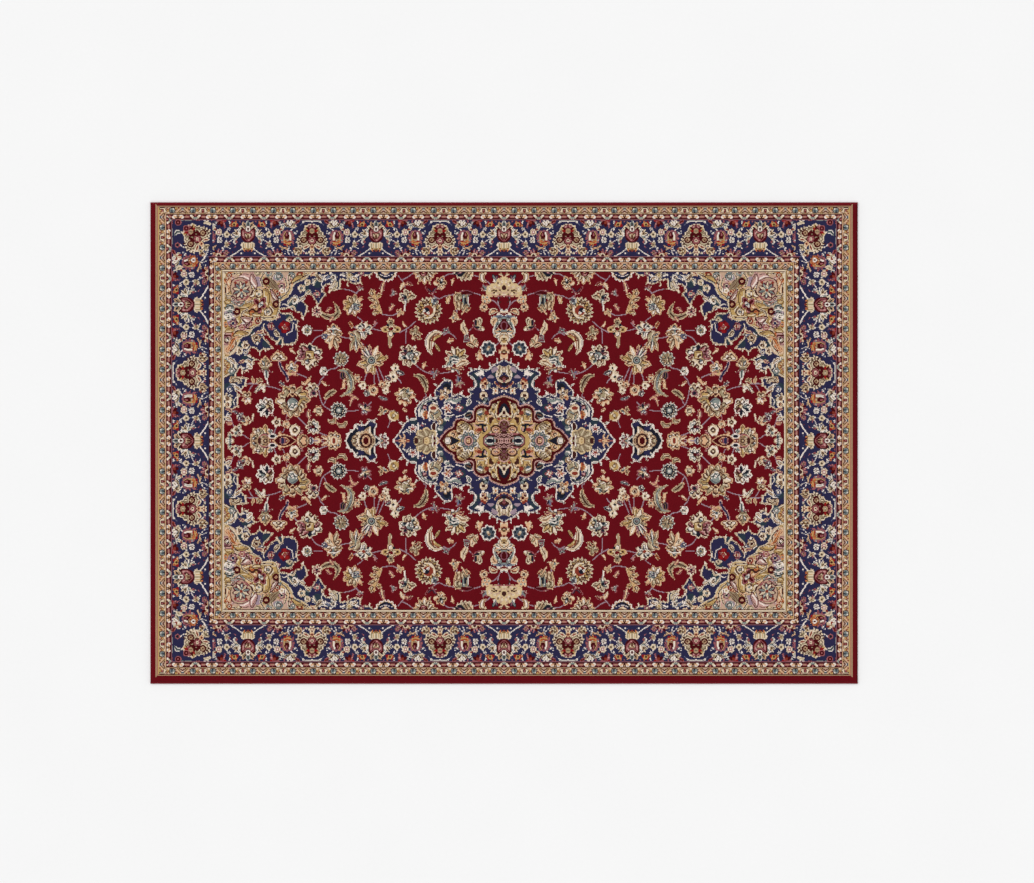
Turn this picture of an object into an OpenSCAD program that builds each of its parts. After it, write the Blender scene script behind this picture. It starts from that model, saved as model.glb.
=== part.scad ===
// Machine-woven area rug: a woven ground, its back coating, finished edges
// and the cut pile, split into the bands and fields of its woven design.
// Origin at the middle of the underside, +X along the rug's length, +Z up.

/* [Rug] */
// Overall length, from end hem to end hem
rug_l = 2350; // [2000:10:3000]
// Overall width, from serged edge to serged edge
rug_w = 1600; // [1400:10:2000]
// How far the woven design sits from the middle, towards the back edge
design_shift = 7.5; // [0:0.5:8]

/* [Thickness] */
// Dried latex coating on the back
coat_t = 0.6; // [0.5:0.1:1]
// Each of the two layers of weft yarns
weft_t = 1; // [0.7:0.1:1.4]
// Layer of stuffer warps between the two layers of wefts
warp_t = 1.2; // [0.8:0.1:1.6]
// Height of the cut pile above the upper wefts
pile_t = 8.2; // [6:0.1:14]

/* [Ground weave] */
// Spacing of the weft yarns in each layer
weft_pitch = 12; // [10:1:24]
// Spacing of the stuffer warps
warp_pitch = 12; // [10:1:24]
// Share of its spacing that a yarn fills
yarn_fill = 0.84; // [0.5:0.01:0.92]

/* [Edges] */
// Height of the serged edge, which is a yarn-wrapped bead
serging_h = 6.4; // [6:0.1:8]
// Thickness of the yarn wrapping on the bead
wrap_t = 0.6; // [0.4:0.1:0.7]
// Width of the hem tape that is sewn under each end
tape_w = 25; // [15:1:40]
// Thickness of the hem tape
tape_t = 0.4; // [0.3:0.05:0.4]
// Length of one hem stitch
stitch_l = 7; // [4:1:8]
// Distance from one hem stitch to the next
stitch_pitch = 10; // [9:1:16]

/* [Design bands, from the outside in] */
// Plain band at each end, from the rug's end to the first woven line
plain_end = 21; // [16:1:40]
// Plain band along each long side, on average
plain_side = 16; // [15:1:40]
// Outer gold guard with its lines
outer_guard_w = 28; // [20:1:40]
// Outer red stripe of small flowers
outer_stripe_w = 25; // [20:1:40]
// Navy main border
main_border_w = 117; // [80:1:140]
// Inner red stripe of small flowers
inner_stripe_w = 26; // [20:1:40]
// Inner gold guard with its lines
inner_guard_w = 27; // [20:1:40]

/* [Medallion] */
// Width of the cream edging around the medallion
edging_w = 8; // [4:1:10]

/* [Hidden] */

$fn = 48;

// Clearance between the solids of neighbouring pile zones
gap = 0.3;

// Heights of the layers
z_lower = coat_t;
z_warp = z_lower + weft_t;
z_upper = z_warp + warp_t;
z_pile = z_upper + weft_t;

// The ground reaches by tuck into the serging at the sides, and stops that far from the tape at the ends
bead_r = serging_h / 2;
cord_play = 0.1;
cord_r = bead_r - wrap_t - cord_play;
tuck = 0.5;
ground_l = rug_l - 2 * (tape_t + tuck);
ground_w = rug_w - 2 * (serging_h - tuck);
hem_lip = 4;

// How far a cutting shape reaches past what it cuts
overcut = 1;

// Width of a hem stitch, and how far its row lies from the tape's inner edge
stitch_w = 1;
stitch_inset = 5;

// Half length and half width of the pile, and of the design's outer line
pile_hl = rug_l / 2 - hem_lip - gap;
pile_hw = rug_w / 2 - serging_h - gap;
design_hl = rug_l / 2 - plain_end;
design_hw = rug_w / 2 - plain_side;

// How far each band's outer line lies inside the design's outer line
d_stripe = outer_guard_w;
d_border = d_stripe + outer_stripe_w;
d_inner_stripe = d_border + main_border_w;
d_inner_guard = d_inner_stripe + inner_stripe_w;
d_field = d_inner_guard + inner_guard_w;

// Half size of the field, and the half size that the outlines below are drawn for
field_hl = design_hl - d_field;
field_hw = design_hw - d_field;
drawn_hl = 931;
drawn_hw = 561;
sx = field_hl / drawn_hl;
sy = field_hw / drawn_hw;

// One quarter of each outline of the design, from its top to its right end
medallion_quarter = [
    [0, 268], [55, 233], [118, 224], [94, 190], [118, 146], [172, 150], [178, 198],
    [224, 165], [227, 140], [278, 128], [294, 104], [290, 74], [330, 56], [368, 0]];
core_quarter = [
    [0, 150], [50, 138], [58, 112], [100, 114], [104, 70], [160, 72], [172, 38], [216, 0]];
pendant_half = [
    [405, 0], [425, 16], [424, 58], [450, 66], [466, 52], [494, 52], [516, 30], [527, 0]];

// Scalloped line between the gold corner and its navy band, from the top to the side
corner_line = [
    [636, 561], [690, 526], [736, 460], [764, 402], [802, 402],
    [830, 372], [880, 334], [906, 290], [931, 276]];
// Scalloped line between the navy band and the field, from the top to the side
band_line = [
    [436, 561], [478, 526], [544, 532], [560, 498], [618, 484], [656, 450], [688, 404],
    [690, 324], [770, 326], [852, 300], [838, 246], [888, 212], [872, 164], [890, 108],
    [931, 62]];

// A layer of the pile from its outline
module pile(colour) {
    color(colour) translate([0, design_shift, z_pile]) linear_extrude(pile_t) children();
}

// A trapezoid bar of a frame: half length and half width of its outer and inner line
module mitred_bar(outer_l, outer_w, inner_l, inner_w) {
    m = gap / 2;
    polygon([
        [-outer_l + m, outer_w], [outer_l - m, outer_w],
        [inner_l - m, inner_w], [-inner_l + m, inner_w]]);
}

// A rectangular frame of four separate bars, mitred at the corners
module frame(outer_l, outer_w, inner_l, inner_w) {
    for (side = [0, 1]) mirror([0, side]) mitred_bar(outer_l, outer_w, inner_l, inner_w);
    for (turn = [90, -90]) rotate(turn) mitred_bar(outer_w, outer_l, inner_w, inner_l);
}

// A band of the design between two distances from its outer line
module band(from, to) {
    frame(design_hl - from - gap, design_hw - from - gap, design_hl - to, design_hw - to);
}

// A list of points scaled to the field, and a half or quarter outline made whole.
// Outlines run clockwise, from their top or their left end
function scaled(points) = [for (p = points) [p[0] * sx, p[1] * sy]];
function flipped(points, x, y) = [for (i = [len(points) - 1:-1:0]) [points[i][0] * x, points[i][1] * y]];
function inner(points) = [for (i = [1:len(points) - 2]) points[i]];
function mirrored_down(points) = concat(points, inner(flipped(points, 1, -1)));
function mirrored_left(points) = concat(points, inner(flipped(points, -1, 1)));
function right_half(q) = concat(q, [for (i = [len(q) - 2:-1:0]) [q[i][0], -q[i][1]]]);
function whole(quarter) = mirrored_left(right_half(scaled(quarter)));

// A closed clockwise outline drawn in by d, or out where d is negative
function unit(v) = v / norm(v);
function drawn_in(points, d) = let (n = len(points)) [for (i = [0:n - 1])
    let (
        before = unit(points[i] - points[(i + n - 1) % n]),
        after = unit(points[(i + 1) % n] - points[i]),
        inward = [before[1] + after[1], -before[0] - after[0]])
    points[i] + inward * d / (1 + before * after)];

medallion_line = whole(medallion_quarter);
core_line = whole(core_quarter);
pendant_line = mirrored_down(scaled(pendant_half));

// The area from a scalloped line out to the field's corner, moved towards the corner by inset
module corner_area(line, inset) {
    points = scaled(line);
    last = len(points) - 1;
    moved = [for (i = [0:last]) [
        i == last ? field_hl - gap : points[i][0] + inset,
        i == 0 ? field_hw - gap : points[i][1] + inset]];
    polygon(concat(moved, [[field_hl - gap, field_hw - gap]]));
}

// Ground weave and its coating

module back_coating() {
    color("wheat") translate([-rug_l / 2 + tape_w, -ground_w / 2, 0])
        cube([rug_l - 2 * tape_w, ground_w, coat_t]);
}

// A layer of wefts, which run across the rug. shift moves it along by a share of the spacing
module wefts(z, shift) {
    count = floor(ground_l / weft_pitch) - 1;
    for (i = [0:count - 1])
        translate([(i - (count - 1) / 2 + shift) * weft_pitch, 0, z + weft_t / 2])
            cube([weft_pitch * yarn_fill, ground_w, weft_t], center = true);
}

module lower_wefts() { color("tan") wefts(z_lower, -0.25); }
module upper_wefts() { color("tan") wefts(z_upper, 0.25); }

module stuffer_warps() {
    count = floor(ground_w / warp_pitch);
    color("ivory") for (i = [0:count - 1])
        translate([0, (i - (count - 1) / 2) * warp_pitch, z_warp + warp_t / 2])
            cube([ground_l, warp_pitch * yarn_fill, warp_t], center = true);
}

// Long sides. side is 1 at the back and -1 at the front

module edge_cord(side) {
    color("ivory") translate([-rug_l / 2 + hem_lip, side * (rug_w / 2 - bead_r), bead_r])
        rotate([0, 90, 0]) cylinder(h = rug_l - 2 * hem_lip, r = cord_r);
}

// Section of the serging for a bead whose outer side faces +X
module serging_section() {
    difference() {
        union() {
            circle(r = bead_r);
            translate([-bead_r, -bead_r]) square([bead_r, serging_h]);
        }
        circle(r = bead_r - wrap_t);
        translate([-bead_r - overcut, coat_t - bead_r])
            square([bead_r + overcut, z_pile - coat_t]);
    }
}

module serging(side) {
    color("darkred") translate([-rug_l / 2, side * (rug_w / 2 - bead_r), bead_r])
        rotate([90, 0, 90]) linear_extrude(rug_l) mirror([side > 0 ? 0 : 1, 0])
            serging_section();
}

// Ends. side is 1 on the right and -1 on the left

// The tape wraps the cut end of the ground: under it, up its end and a little way over it
module end_hem(side) {
    length = rug_w - 2 * serging_h - 2 * gap;
    profile = [
        [0, coat_t - tape_t], [tape_w - gap, coat_t - tape_t], [tape_w - gap, coat_t], [tape_t, coat_t],
        [tape_t, z_pile], [hem_lip, z_pile], [hem_lip, z_pile + tape_t], [0, z_pile + tape_t]];
    color("maroon") mirror([side > 0 ? 1 : 0, 0, 0]) translate([-rug_l / 2, length / 2, 0])
        rotate([90, 0, 0]) linear_extrude(length) polygon(profile);
}

module hem_stitching(side) {
    count = floor((rug_w - 2 * serging_h) / stitch_pitch) - 1;
    color("darkred") for (i = [0:count - 1])
        translate([
            side * (rug_l / 2 - tape_w + stitch_inset), (i - (count - 1) / 2) * stitch_pitch,
            (coat_t - tape_t) / 2])
            cube([stitch_w, stitch_l, coat_t - tape_t], center = true);
}

// Cut pile

// The plain pile around the design. The design is off the middle, so its two long bars differ
module surround_pile() {
    color("firebrick") translate([0, 0, z_pile]) linear_extrude(pile_t) {
        for (side = [-1, 1]) {
            inner_y = design_hw + side * design_shift;
            polygon([
                [-pile_hl + gap, side * pile_hw], [pile_hl - gap, side * pile_hw],
                [design_hl, side * inner_y], [-design_hl, side * inner_y]]);
            polygon([
                [side * pile_hl, pile_hw - gap], [side * pile_hl, -pile_hw + gap],
                [side * design_hl, -design_hw + design_shift + gap],
                [side * design_hl, design_hw + design_shift - gap]]);
        }
    }
}

module outer_guard_pile() { pile("tan") band(0, d_stripe); }
module outer_stripe_pile() { pile("brown") band(d_stripe, d_border); }
module main_border_pile() { pile("midnightblue") band(d_border, d_inner_stripe); }
module inner_stripe_pile() { pile("brown") band(d_inner_stripe, d_inner_guard); }
module inner_guard_pile() { pile("tan") band(d_inner_guard, d_field); }

// Repeats its children in the corner that x and y point to
module in_corner(x, y) { mirror([x < 0 ? 1 : 0, 0]) mirror([0, y < 0 ? 1 : 0]) children(); }

module field_pile() {
    pile("firebrick") difference() {
        square([2 * (field_hl - gap), 2 * (field_hw - gap)], center = true);
        for (x = [-1, 1], y = [-1, 1]) in_corner(x, y) corner_area(band_line, 0);
        for (x = [-1, 1]) in_corner(x, 1) polygon(drawn_in(pendant_line, -gap));
        polygon(drawn_in(medallion_line, -gap));
    }
}

module corner_pile(x, y) { pile("tan") in_corner(x, y) corner_area(corner_line, gap); }

module band_pile(x, y) {
    pile("midnightblue") in_corner(x, y) difference() {
        corner_area(band_line, gap);
        corner_area(corner_line, 0);
    }
}

module pendant_pile(x) { pile("navy") in_corner(x, 1) polygon(pendant_line); }

module medallion_edging_pile() {
    pile("linen") difference() {
        polygon(medallion_line);
        polygon(drawn_in(medallion_line, edging_w));
    }
}

module medallion_ground_pile() {
    pile("midnightblue") difference() {
        polygon(drawn_in(medallion_line, edging_w + gap));
        polygon(drawn_in(core_line, -gap));
    }
}

module medallion_core_pile() { pile("tan") polygon(core_line); }

back_coating();
lower_wefts();
stuffer_warps();
upper_wefts();
edge_cord(-1);  // front_edge_cord
edge_cord(1);  // back_edge_cord
serging(-1);  // front_serging
serging(1);  // back_serging
end_hem(-1);  // left_end_hem
end_hem(1);  // right_end_hem
hem_stitching(-1);  // left_hem_stitching
hem_stitching(1);  // right_hem_stitching
surround_pile();
outer_guard_pile();
outer_stripe_pile();
main_border_pile();
inner_stripe_pile();
inner_guard_pile();
field_pile();
corner_pile(-1, -1);  // front_left_corner_pile
corner_pile(1, -1);  // front_right_corner_pile
corner_pile(-1, 1);  // back_left_corner_pile
corner_pile(1, 1);  // back_right_corner_pile
band_pile(-1, -1);  // front_left_band_pile
band_pile(1, -1);  // front_right_band_pile
band_pile(-1, 1);  // back_left_band_pile
band_pile(1, 1);  // back_right_band_pile
pendant_pile(-1);  // left_pendant_pile
pendant_pile(1);  // right_pendant_pile
medallion_edging_pile();
medallion_ground_pile();
medallion_core_pile();
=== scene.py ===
"""Area rug with a Persian-style design, cut pile on a woven ground."""
import math
import bmesh
import bpy
import numpy as np
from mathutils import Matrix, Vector
from mathutils.geometry import delaunay_2d_cdt


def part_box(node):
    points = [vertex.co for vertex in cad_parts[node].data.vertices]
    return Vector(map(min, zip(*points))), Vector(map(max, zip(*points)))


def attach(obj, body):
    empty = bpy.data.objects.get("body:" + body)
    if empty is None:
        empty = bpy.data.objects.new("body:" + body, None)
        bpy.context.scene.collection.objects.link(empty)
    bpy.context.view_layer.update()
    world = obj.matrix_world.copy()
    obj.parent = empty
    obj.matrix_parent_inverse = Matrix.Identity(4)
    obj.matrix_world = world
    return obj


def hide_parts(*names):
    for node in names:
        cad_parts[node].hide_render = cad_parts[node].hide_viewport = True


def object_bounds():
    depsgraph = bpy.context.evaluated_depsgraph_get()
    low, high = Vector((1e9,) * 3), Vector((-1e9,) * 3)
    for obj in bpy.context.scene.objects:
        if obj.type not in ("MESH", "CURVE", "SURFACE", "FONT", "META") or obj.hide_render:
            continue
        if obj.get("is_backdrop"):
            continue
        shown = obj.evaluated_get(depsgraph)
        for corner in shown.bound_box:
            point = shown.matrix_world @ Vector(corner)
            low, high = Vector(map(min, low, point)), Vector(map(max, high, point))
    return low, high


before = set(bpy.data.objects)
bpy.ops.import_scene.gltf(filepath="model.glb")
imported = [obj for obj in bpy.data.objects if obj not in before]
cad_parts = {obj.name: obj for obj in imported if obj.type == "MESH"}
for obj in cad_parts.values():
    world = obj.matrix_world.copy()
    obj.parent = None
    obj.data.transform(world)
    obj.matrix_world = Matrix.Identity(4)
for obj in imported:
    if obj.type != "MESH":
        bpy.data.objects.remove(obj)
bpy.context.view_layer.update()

# The rug in metres: the knot grid, the flat size, and how far the design lies from the middle across the rug
KNOT = 0.0025
RUG_L, RUG_W = 2.35, 1.6
SHIFT = 0.0075

# ---------------------------------------------------------------- yarns (sRGB 0 to 255)
YARNS = {"red": (98, 10, 20), "dark": (70, 8, 13), "navy": (41, 39, 70), "night": (27, 27, 39),
    "cream": (220, 200, 172), "white": (234, 220, 208), "gold": (186, 152, 96), "tan": (172, 140, 108),
    "olive": (158, 142, 112), "grey": (131, 137, 131), "blue": (102, 108, 130), "mauve": (128, 80, 90),
    "peach": (212, 170, 132), "orange": (186, 108, 62), "rose": (156, 90, 92), "brown": (64, 30, 26),
    "rust": (130, 52, 38), "pink": (196, 152, 144), "lilac": (156, 134, 144), "umber": (108, 78, 60),
    "slate": (72, 80, 88), "teal": (42, 54, 64), "scarlet": (138, 24, 26), "sand": (190, 158, 134),
    "straw": (208, 180, 136)}
NAMES = list(YARNS)
INDEX = {name: i for i, name in enumerate(NAMES)}


class Loom:
    """A grid of knots that holds a yarn number each. Sizes are in mm from the design's centre."""

    def __init__(self, width, height, pitch):
        self.pitch = pitch
        self.nx, self.ny = round(width / pitch), round(height / pitch)
        self.x = (np.arange(self.nx) + 0.5) * pitch
        self.y = (np.arange(self.ny) + 0.5) * pitch
        self.yarn = np.zeros((self.ny, self.nx), np.uint8)

    def window(self, x0, x1, y0, y1):
        """The part of the grid about a box, with its places, or None if the box is outside."""
        p = self.pitch
        i0, i1 = max(0, int(x0 / p) - 1), min(self.nx, int(x1 / p) + 2)
        j0, j1 = max(0, int(y0 / p) - 1), min(self.ny, int(y1 / p) + 2)
        if i0 >= i1 or j0 >= j1:
            return None
        return (slice(j0, j1), slice(i0, i1)), self.x[None, i0:i1], self.y[j0:j1, None]

    def paint(self, colour, box, test):
        """Gives every knot in the box that passes the test a yarn."""
        found = self.window(*box)
        if found:
            where, x, y = found
            mask = np.broadcast_to(test(x, y), self.yarn[where].shape)
            self.yarn[where][mask] = INDEX[colour]

    def rect(self, x0, x1, y0, y1, colour):
        """Paints the box from x0 to x1 and from y0 to y1."""
        self.paint(colour, (x0, x1, y0, y1), lambda x, y: (x >= x0) & (x < x1) & (y >= y0) & (y < y1))

    def disc(self, x, y, r, colour, squash=1.0):
        """Paints a disc, its height times squash."""
        self.paint(colour, (x - r, x + r, y - r, y + r),
            lambda u, v: (u - x) ** 2 + ((v - y) / squash) ** 2 <= r * r)

    def polygon(self, points, colour):
        """Paints the inside of a closed outline."""
        xs, ys = zip(*points)

        def inside(u, v):
            hit = np.zeros(np.broadcast(u, v).shape, bool)
            for (ax, ay), (bx, by) in zip(points, points[1:] + points[:1]):
                if ay != by:
                    hit ^= ((v < ay) != (v < by)) & (u < (bx - ax) * (v - ay) / (by - ay) + ax)
            return hit
        self.paint(colour, (min(xs), max(xs), min(ys), max(ys)), inside)

    def stroke(self, points, width, colour):
        """A line through the points. width is a number or a function of the share of the length."""
        wide = width if callable(width) else (lambda t: width)
        points = curve(points)
        steps = np.hypot(*np.diff(points, axis=0).T)
        along = np.concatenate([[0], np.cumsum(steps)]) / steps.sum()
        for k in range(len(points) - 1):
            (ax, ay), (bx, by) = points[k], points[k + 1]
            wa, wb = wide(along[k]) / 2, wide(along[k + 1]) / 2
            r = max(wa, wb)
            if r <= 0:
                continue

            def near(u, v):
                dx, dy = bx - ax, by - ay
                t = np.clip(((u - ax) * dx + (v - ay) * dy) / (dx * dx + dy * dy), 0, 1)
                return np.hypot(u - ax - t * dx, v - ay - t * dy) <= wa + (wb - wa) * t
            self.paint(colour, (min(ax, bx) - r, max(ax, bx) + r, min(ay, by) - r, max(ay, by) + r), near)


def curve(points, step=3.0):
    """A smooth line through the points (Catmull-Rom), with a point about every step mm."""
    p = np.array(points, float)
    if len(p) == 2:
        n = max(2, int(np.hypot(*(p[1] - p[0])) / step))
        return p[0] + (p[1] - p[0]) * np.linspace(0, 1, n)[:, None]
    p = np.vstack([2 * p[0] - p[1], p, 2 * p[-1] - p[-2]])
    out = []
    for a, b, c, d in zip(p, p[1:], p[2:], p[3:]):
        n = max(2, int(np.hypot(*(c - b)) / step))
        t = np.linspace(0, 1, n, endpoint=False)[:, None]
        out.append(0.5 * (2 * b + (c - a) * t + (2 * a - 5 * b + 4 * c - d) * t ** 2
            + (3 * b - a - 3 * c + d) * t ** 3))
    return np.vstack(out + [p[-2:-1]])


def turned(x, y, angle, forward, side=0.0):
    """The point that lies forward and to the left of x, y when facing along angle (degrees)."""
    a = math.radians(angle)
    return (x + forward * math.cos(a) - side * math.sin(a), y + forward * math.sin(a) + side * math.cos(a))


# ---------------------------------------------------------------- small motifs
def drop(loom, x, y, angle, length, width, colour, belly=0.6):
    """A petal from x, y. belly is where along it the petal is widest."""
    power = math.log(0.5) / math.log(belly)
    loom.stroke([(x, y), turned(x, y, angle, length)],
        lambda t: width * math.sin(math.pi * min(1, max(0, t)) ** power) + 0.6, colour)


def rosette(loom, x, y, r, n, petal, gap="red", ring=None, eye=None, turn=0.0, split=0.22):
    """A round flower of n petals with gap-coloured lines between them, and a ring and an eye."""
    def in_petal(u, v):
        angle = np.arctan2(v - y, u - x) - math.radians(turn)
        lobe = np.abs(np.cos(angle * n / 2))
        dist = np.hypot(u - x, v - y)
        return (dist <= r * (0.8 + 0.2 * lobe)) & ((lobe > split) | (dist < r * 0.35))
    if gap:
        loom.disc(x, y, r * 0.8, gap)
    loom.paint(petal, (x - r, x + r, y - r, y + r), in_petal)
    if ring:
        loom.disc(x, y, r * 0.42, ring)
    if eye:
        loom.disc(x, y, r * 0.22, eye)


def fan(loom, x, y, angle, spread, n, length, width, colours, vein=None, droop=0.25):
    """A fan of petals from x, y. colours are used in turn, from the outer petals inwards."""
    order = sorted(range(n), key=lambda k: -abs(k - (n - 1) / 2))
    for rank, k in enumerate(order):
        share = 0 if n == 1 else 2 * k / (n - 1) - 1
        a = angle + share * spread / 2
        reach = length * (1 - droop * share * share)
        colour = colours[(rank + 1) // 2 % len(colours)]
        drop(loom, x, y, a, reach, width, colour)
        if vein:
            sx, sy = turned(x, y, a, reach * 0.45)
            drop(loom, sx, sy, a, reach * 0.4, width * 0.35, vein)


def leaf(loom, points, width, colour, edge=None, vein=None, teeth=0, belly=0.45):
    """A long curved leaf, pointed at both ends, with an edge, a vein and saw teeth."""
    power = math.log(0.5) / math.log(belly)

    def profile(t, cut=0.35):
        body = width * math.sin(math.pi * min(1, max(0, t)) ** power)
        return body * (1 - cut * (1 - (t * teeth) % 1)) if teeth else body
    if edge:
        loom.stroke(points, lambda t: profile(t) + 3.5, edge)
    loom.stroke(points, lambda t: profile(t) + 0.8, colour)
    if vein:
        loom.stroke(points, lambda t: 0.28 * profile(t, cut=0), vein)


def dots(w, colour, r, *places):
    """Discs of one size and yarn."""
    for x, y in places:
        w.disc(x, y, r, colour)


def lines(w, colour, width, *paths):
    """Lines of one width and yarn, each smooth through its points."""
    for path in paths:
        w.stroke(path, width, colour)


def blades(w, width, colour, edge, *paths):
    """Curved leaves with a rim, and a thin dark line down the larger ones."""
    for path in paths:
        leaf(w, path, width * 1.2, edge or colour)
        leaf(w, path, width * 1.2 - (5.5 if edge else 0), colour, vein="umber" if width > 15 else None)


def spurs(w, colour, length, width, *places):
    """Small thorns on an outline, each (x, y, the angle that it points in)."""
    for x, y, angle in places:
        drop(w, *turned(x, y, angle, -2), angle, length, width, colour, belly=0.3)


def petals(w, x, y, rows, rim="cream", full=0.45):
    """Petals with a rim about x, y, each (angle, length, width, fill), over a disc of the first fill."""
    w.disc(x, y, full * sum(row[1] for row in rows) / len(rows), rows[0][3])
    for angle, length, width, _ in rows:
        drop(w, x, y, angle, length + 1, width * 1.18, rim)
    for angle, length, width, fill in rows:
        drop(w, x, y, angle, length - 3, width * 1.18 - 5, fill)


def whorl(w, x, y, n, turn, length, width, fills, rim="cream", full=0.45):
    """A full round of n like petals with a rim, in the given fills by turns."""
    petals(w, x, y, tuple((turn + 360 * k / n, length, width, fills[k % len(fills)]) for k in range(n)), rim,
        full)


def rings(w, x, y, *discs):
    """Discs one on another, each (radius, yarn) or (radius, yarn, how much it is squashed)."""
    for disc in discs:
        w.disc(x, y, *disc)


def flower(w, x, y, r, n, petal, eye, eye_r=3.0, turn=0.0):
    """A small flower: n petals with a dark line round each, and an eye."""
    w.disc(x, y, r * 0.72, "brown")
    for k in range(n):
        place = turned(x, y, turn + 360 * k / n, r * 0.6)
        w.disc(*place, r * 0.4 + 0.6, petal)
    w.disc(x, y, eye_r + 1.6, "brown" if eye in ("white", "cream", "peach") else "cream")
    w.disc(x, y, eye_r, eye)


# The design's half length and width from its centre, the widths of its bands, the field's half length and
# width, and a distance beyond everything (all in mm)
DESIGN_L, DESIGN_W = 1154.0, 784.0
OUTER_GUARD, OUTER_STRIPE, BORDER, INNER_STRIPE, INNER_GUARD = 28, 25, 117, 26, 27
FRAME = OUTER_GUARD + OUTER_STRIPE + BORDER + INNER_STRIPE + INNER_GUARD
FIELD_L, FIELD_W = DESIGN_L - FRAME, DESIGN_W - FRAME
BEYOND = 2000


def field_vines(w):
    """The thin stalks on the red field."""
    lines(w, "lilac", 3, [(45, 518), (60, 532), (85, 545), (104, 550)], [(160, 556), (188, 552), (206, 538)],
        [(78, 484), (100, 490), (112, 486)], [(165, 486), (196, 480), (216, 472), (235, 482)],
        [(303, 556), (322, 542), (335, 536)], [(352, 548), (334, 526), (330, 512)],
        [(352, 424), (374, 416), (404, 420)], [(294, 396), (320, 374), (346, 360)],
        [(323, 374), (327, 348), (326, 324)], [(398, 364), (420, 368), (452, 376)],
        [(158, 338), (172, 352), (186, 358), (200, 352)],
        [(180, 228), (210, 224), (240, 222), (268, 232), (292, 250)], [(262, 158), (258, 150), (266, 142)],
        [(340, 190), (346, 200), (352, 206)], [(372, 200), (384, 186)], [(416, 242), (404, 214), (398, 200)],
        [(426, 240), (416, 206), (414, 190)], [(432, 240), (432, 210), (430, 190)],
        [(440, 238), (456, 222), (464, 200)], [(440, 130), (450, 118), (460, 112)],
        [(484, 102), (506, 98), (526, 100)], [(572, 100), (600, 118), (612, 150), (618, 186)],
        [(600, 118), (592, 134), (594, 146)], [(550, 256), (556, 242), (576, 238), (586, 232)],
        [(598, 214), (610, 200), (614, 186), (622, 178)], [(656, 50), (672, 66), (690, 82)],
        [(742, 168), (762, 176), (790, 182)], [(820, 188), (846, 190), (862, 184)],
        [(834, 186), (844, 172), (850, 156)], [(762, 80), (768, 90), (776, 96)],
        [(488, 488), (508, 498), (532, 504)], [(480, 505), (484, 498), (490, 490)],
        [(470, 396), (474, 402), (486, 410)], [(604, 366), (620, 367), (632, 367)],
        [(606, 350), (624, 342), (640, 322)], [(512, 340), (526, 342), (544, 346)],
        [(466, 318), (478, 328), (488, 332)], [(486, 372), (500, 378), (510, 388)],
        [(422, 392), (430, 382), (440, 374)], [(682, 270), (692, 262), (698, 250)],
        [(606, 424), (614, 428), (620, 428)], [(888, 16), (868, 20), (850, 8)],
        [(896, 46), (902, 60), (908, 78)], [(718, 66), (720, 76), (722, 86)],
        [(730, 38), (734, 30), (744, 22)], [(758, 48), (760, 36), (764, 24)],
        [(378, 66), (382, 54), (386, 44)], [(590, 18), (602, 22), (622, 30)], [(648, 2), (622, 0), (600, 4)],
        [(156, 428), (158, 432), (156, 440)], [(100, 380), (106, 374), (116, 366)],
        [(12, 436), (20, 456), (18, 476)], [(20, 450), (34, 464), (44, 466)],
        [(16, 326), (24, 320), (32, 310)], [(656, 210), (664, 214), (690, 224)])


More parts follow.
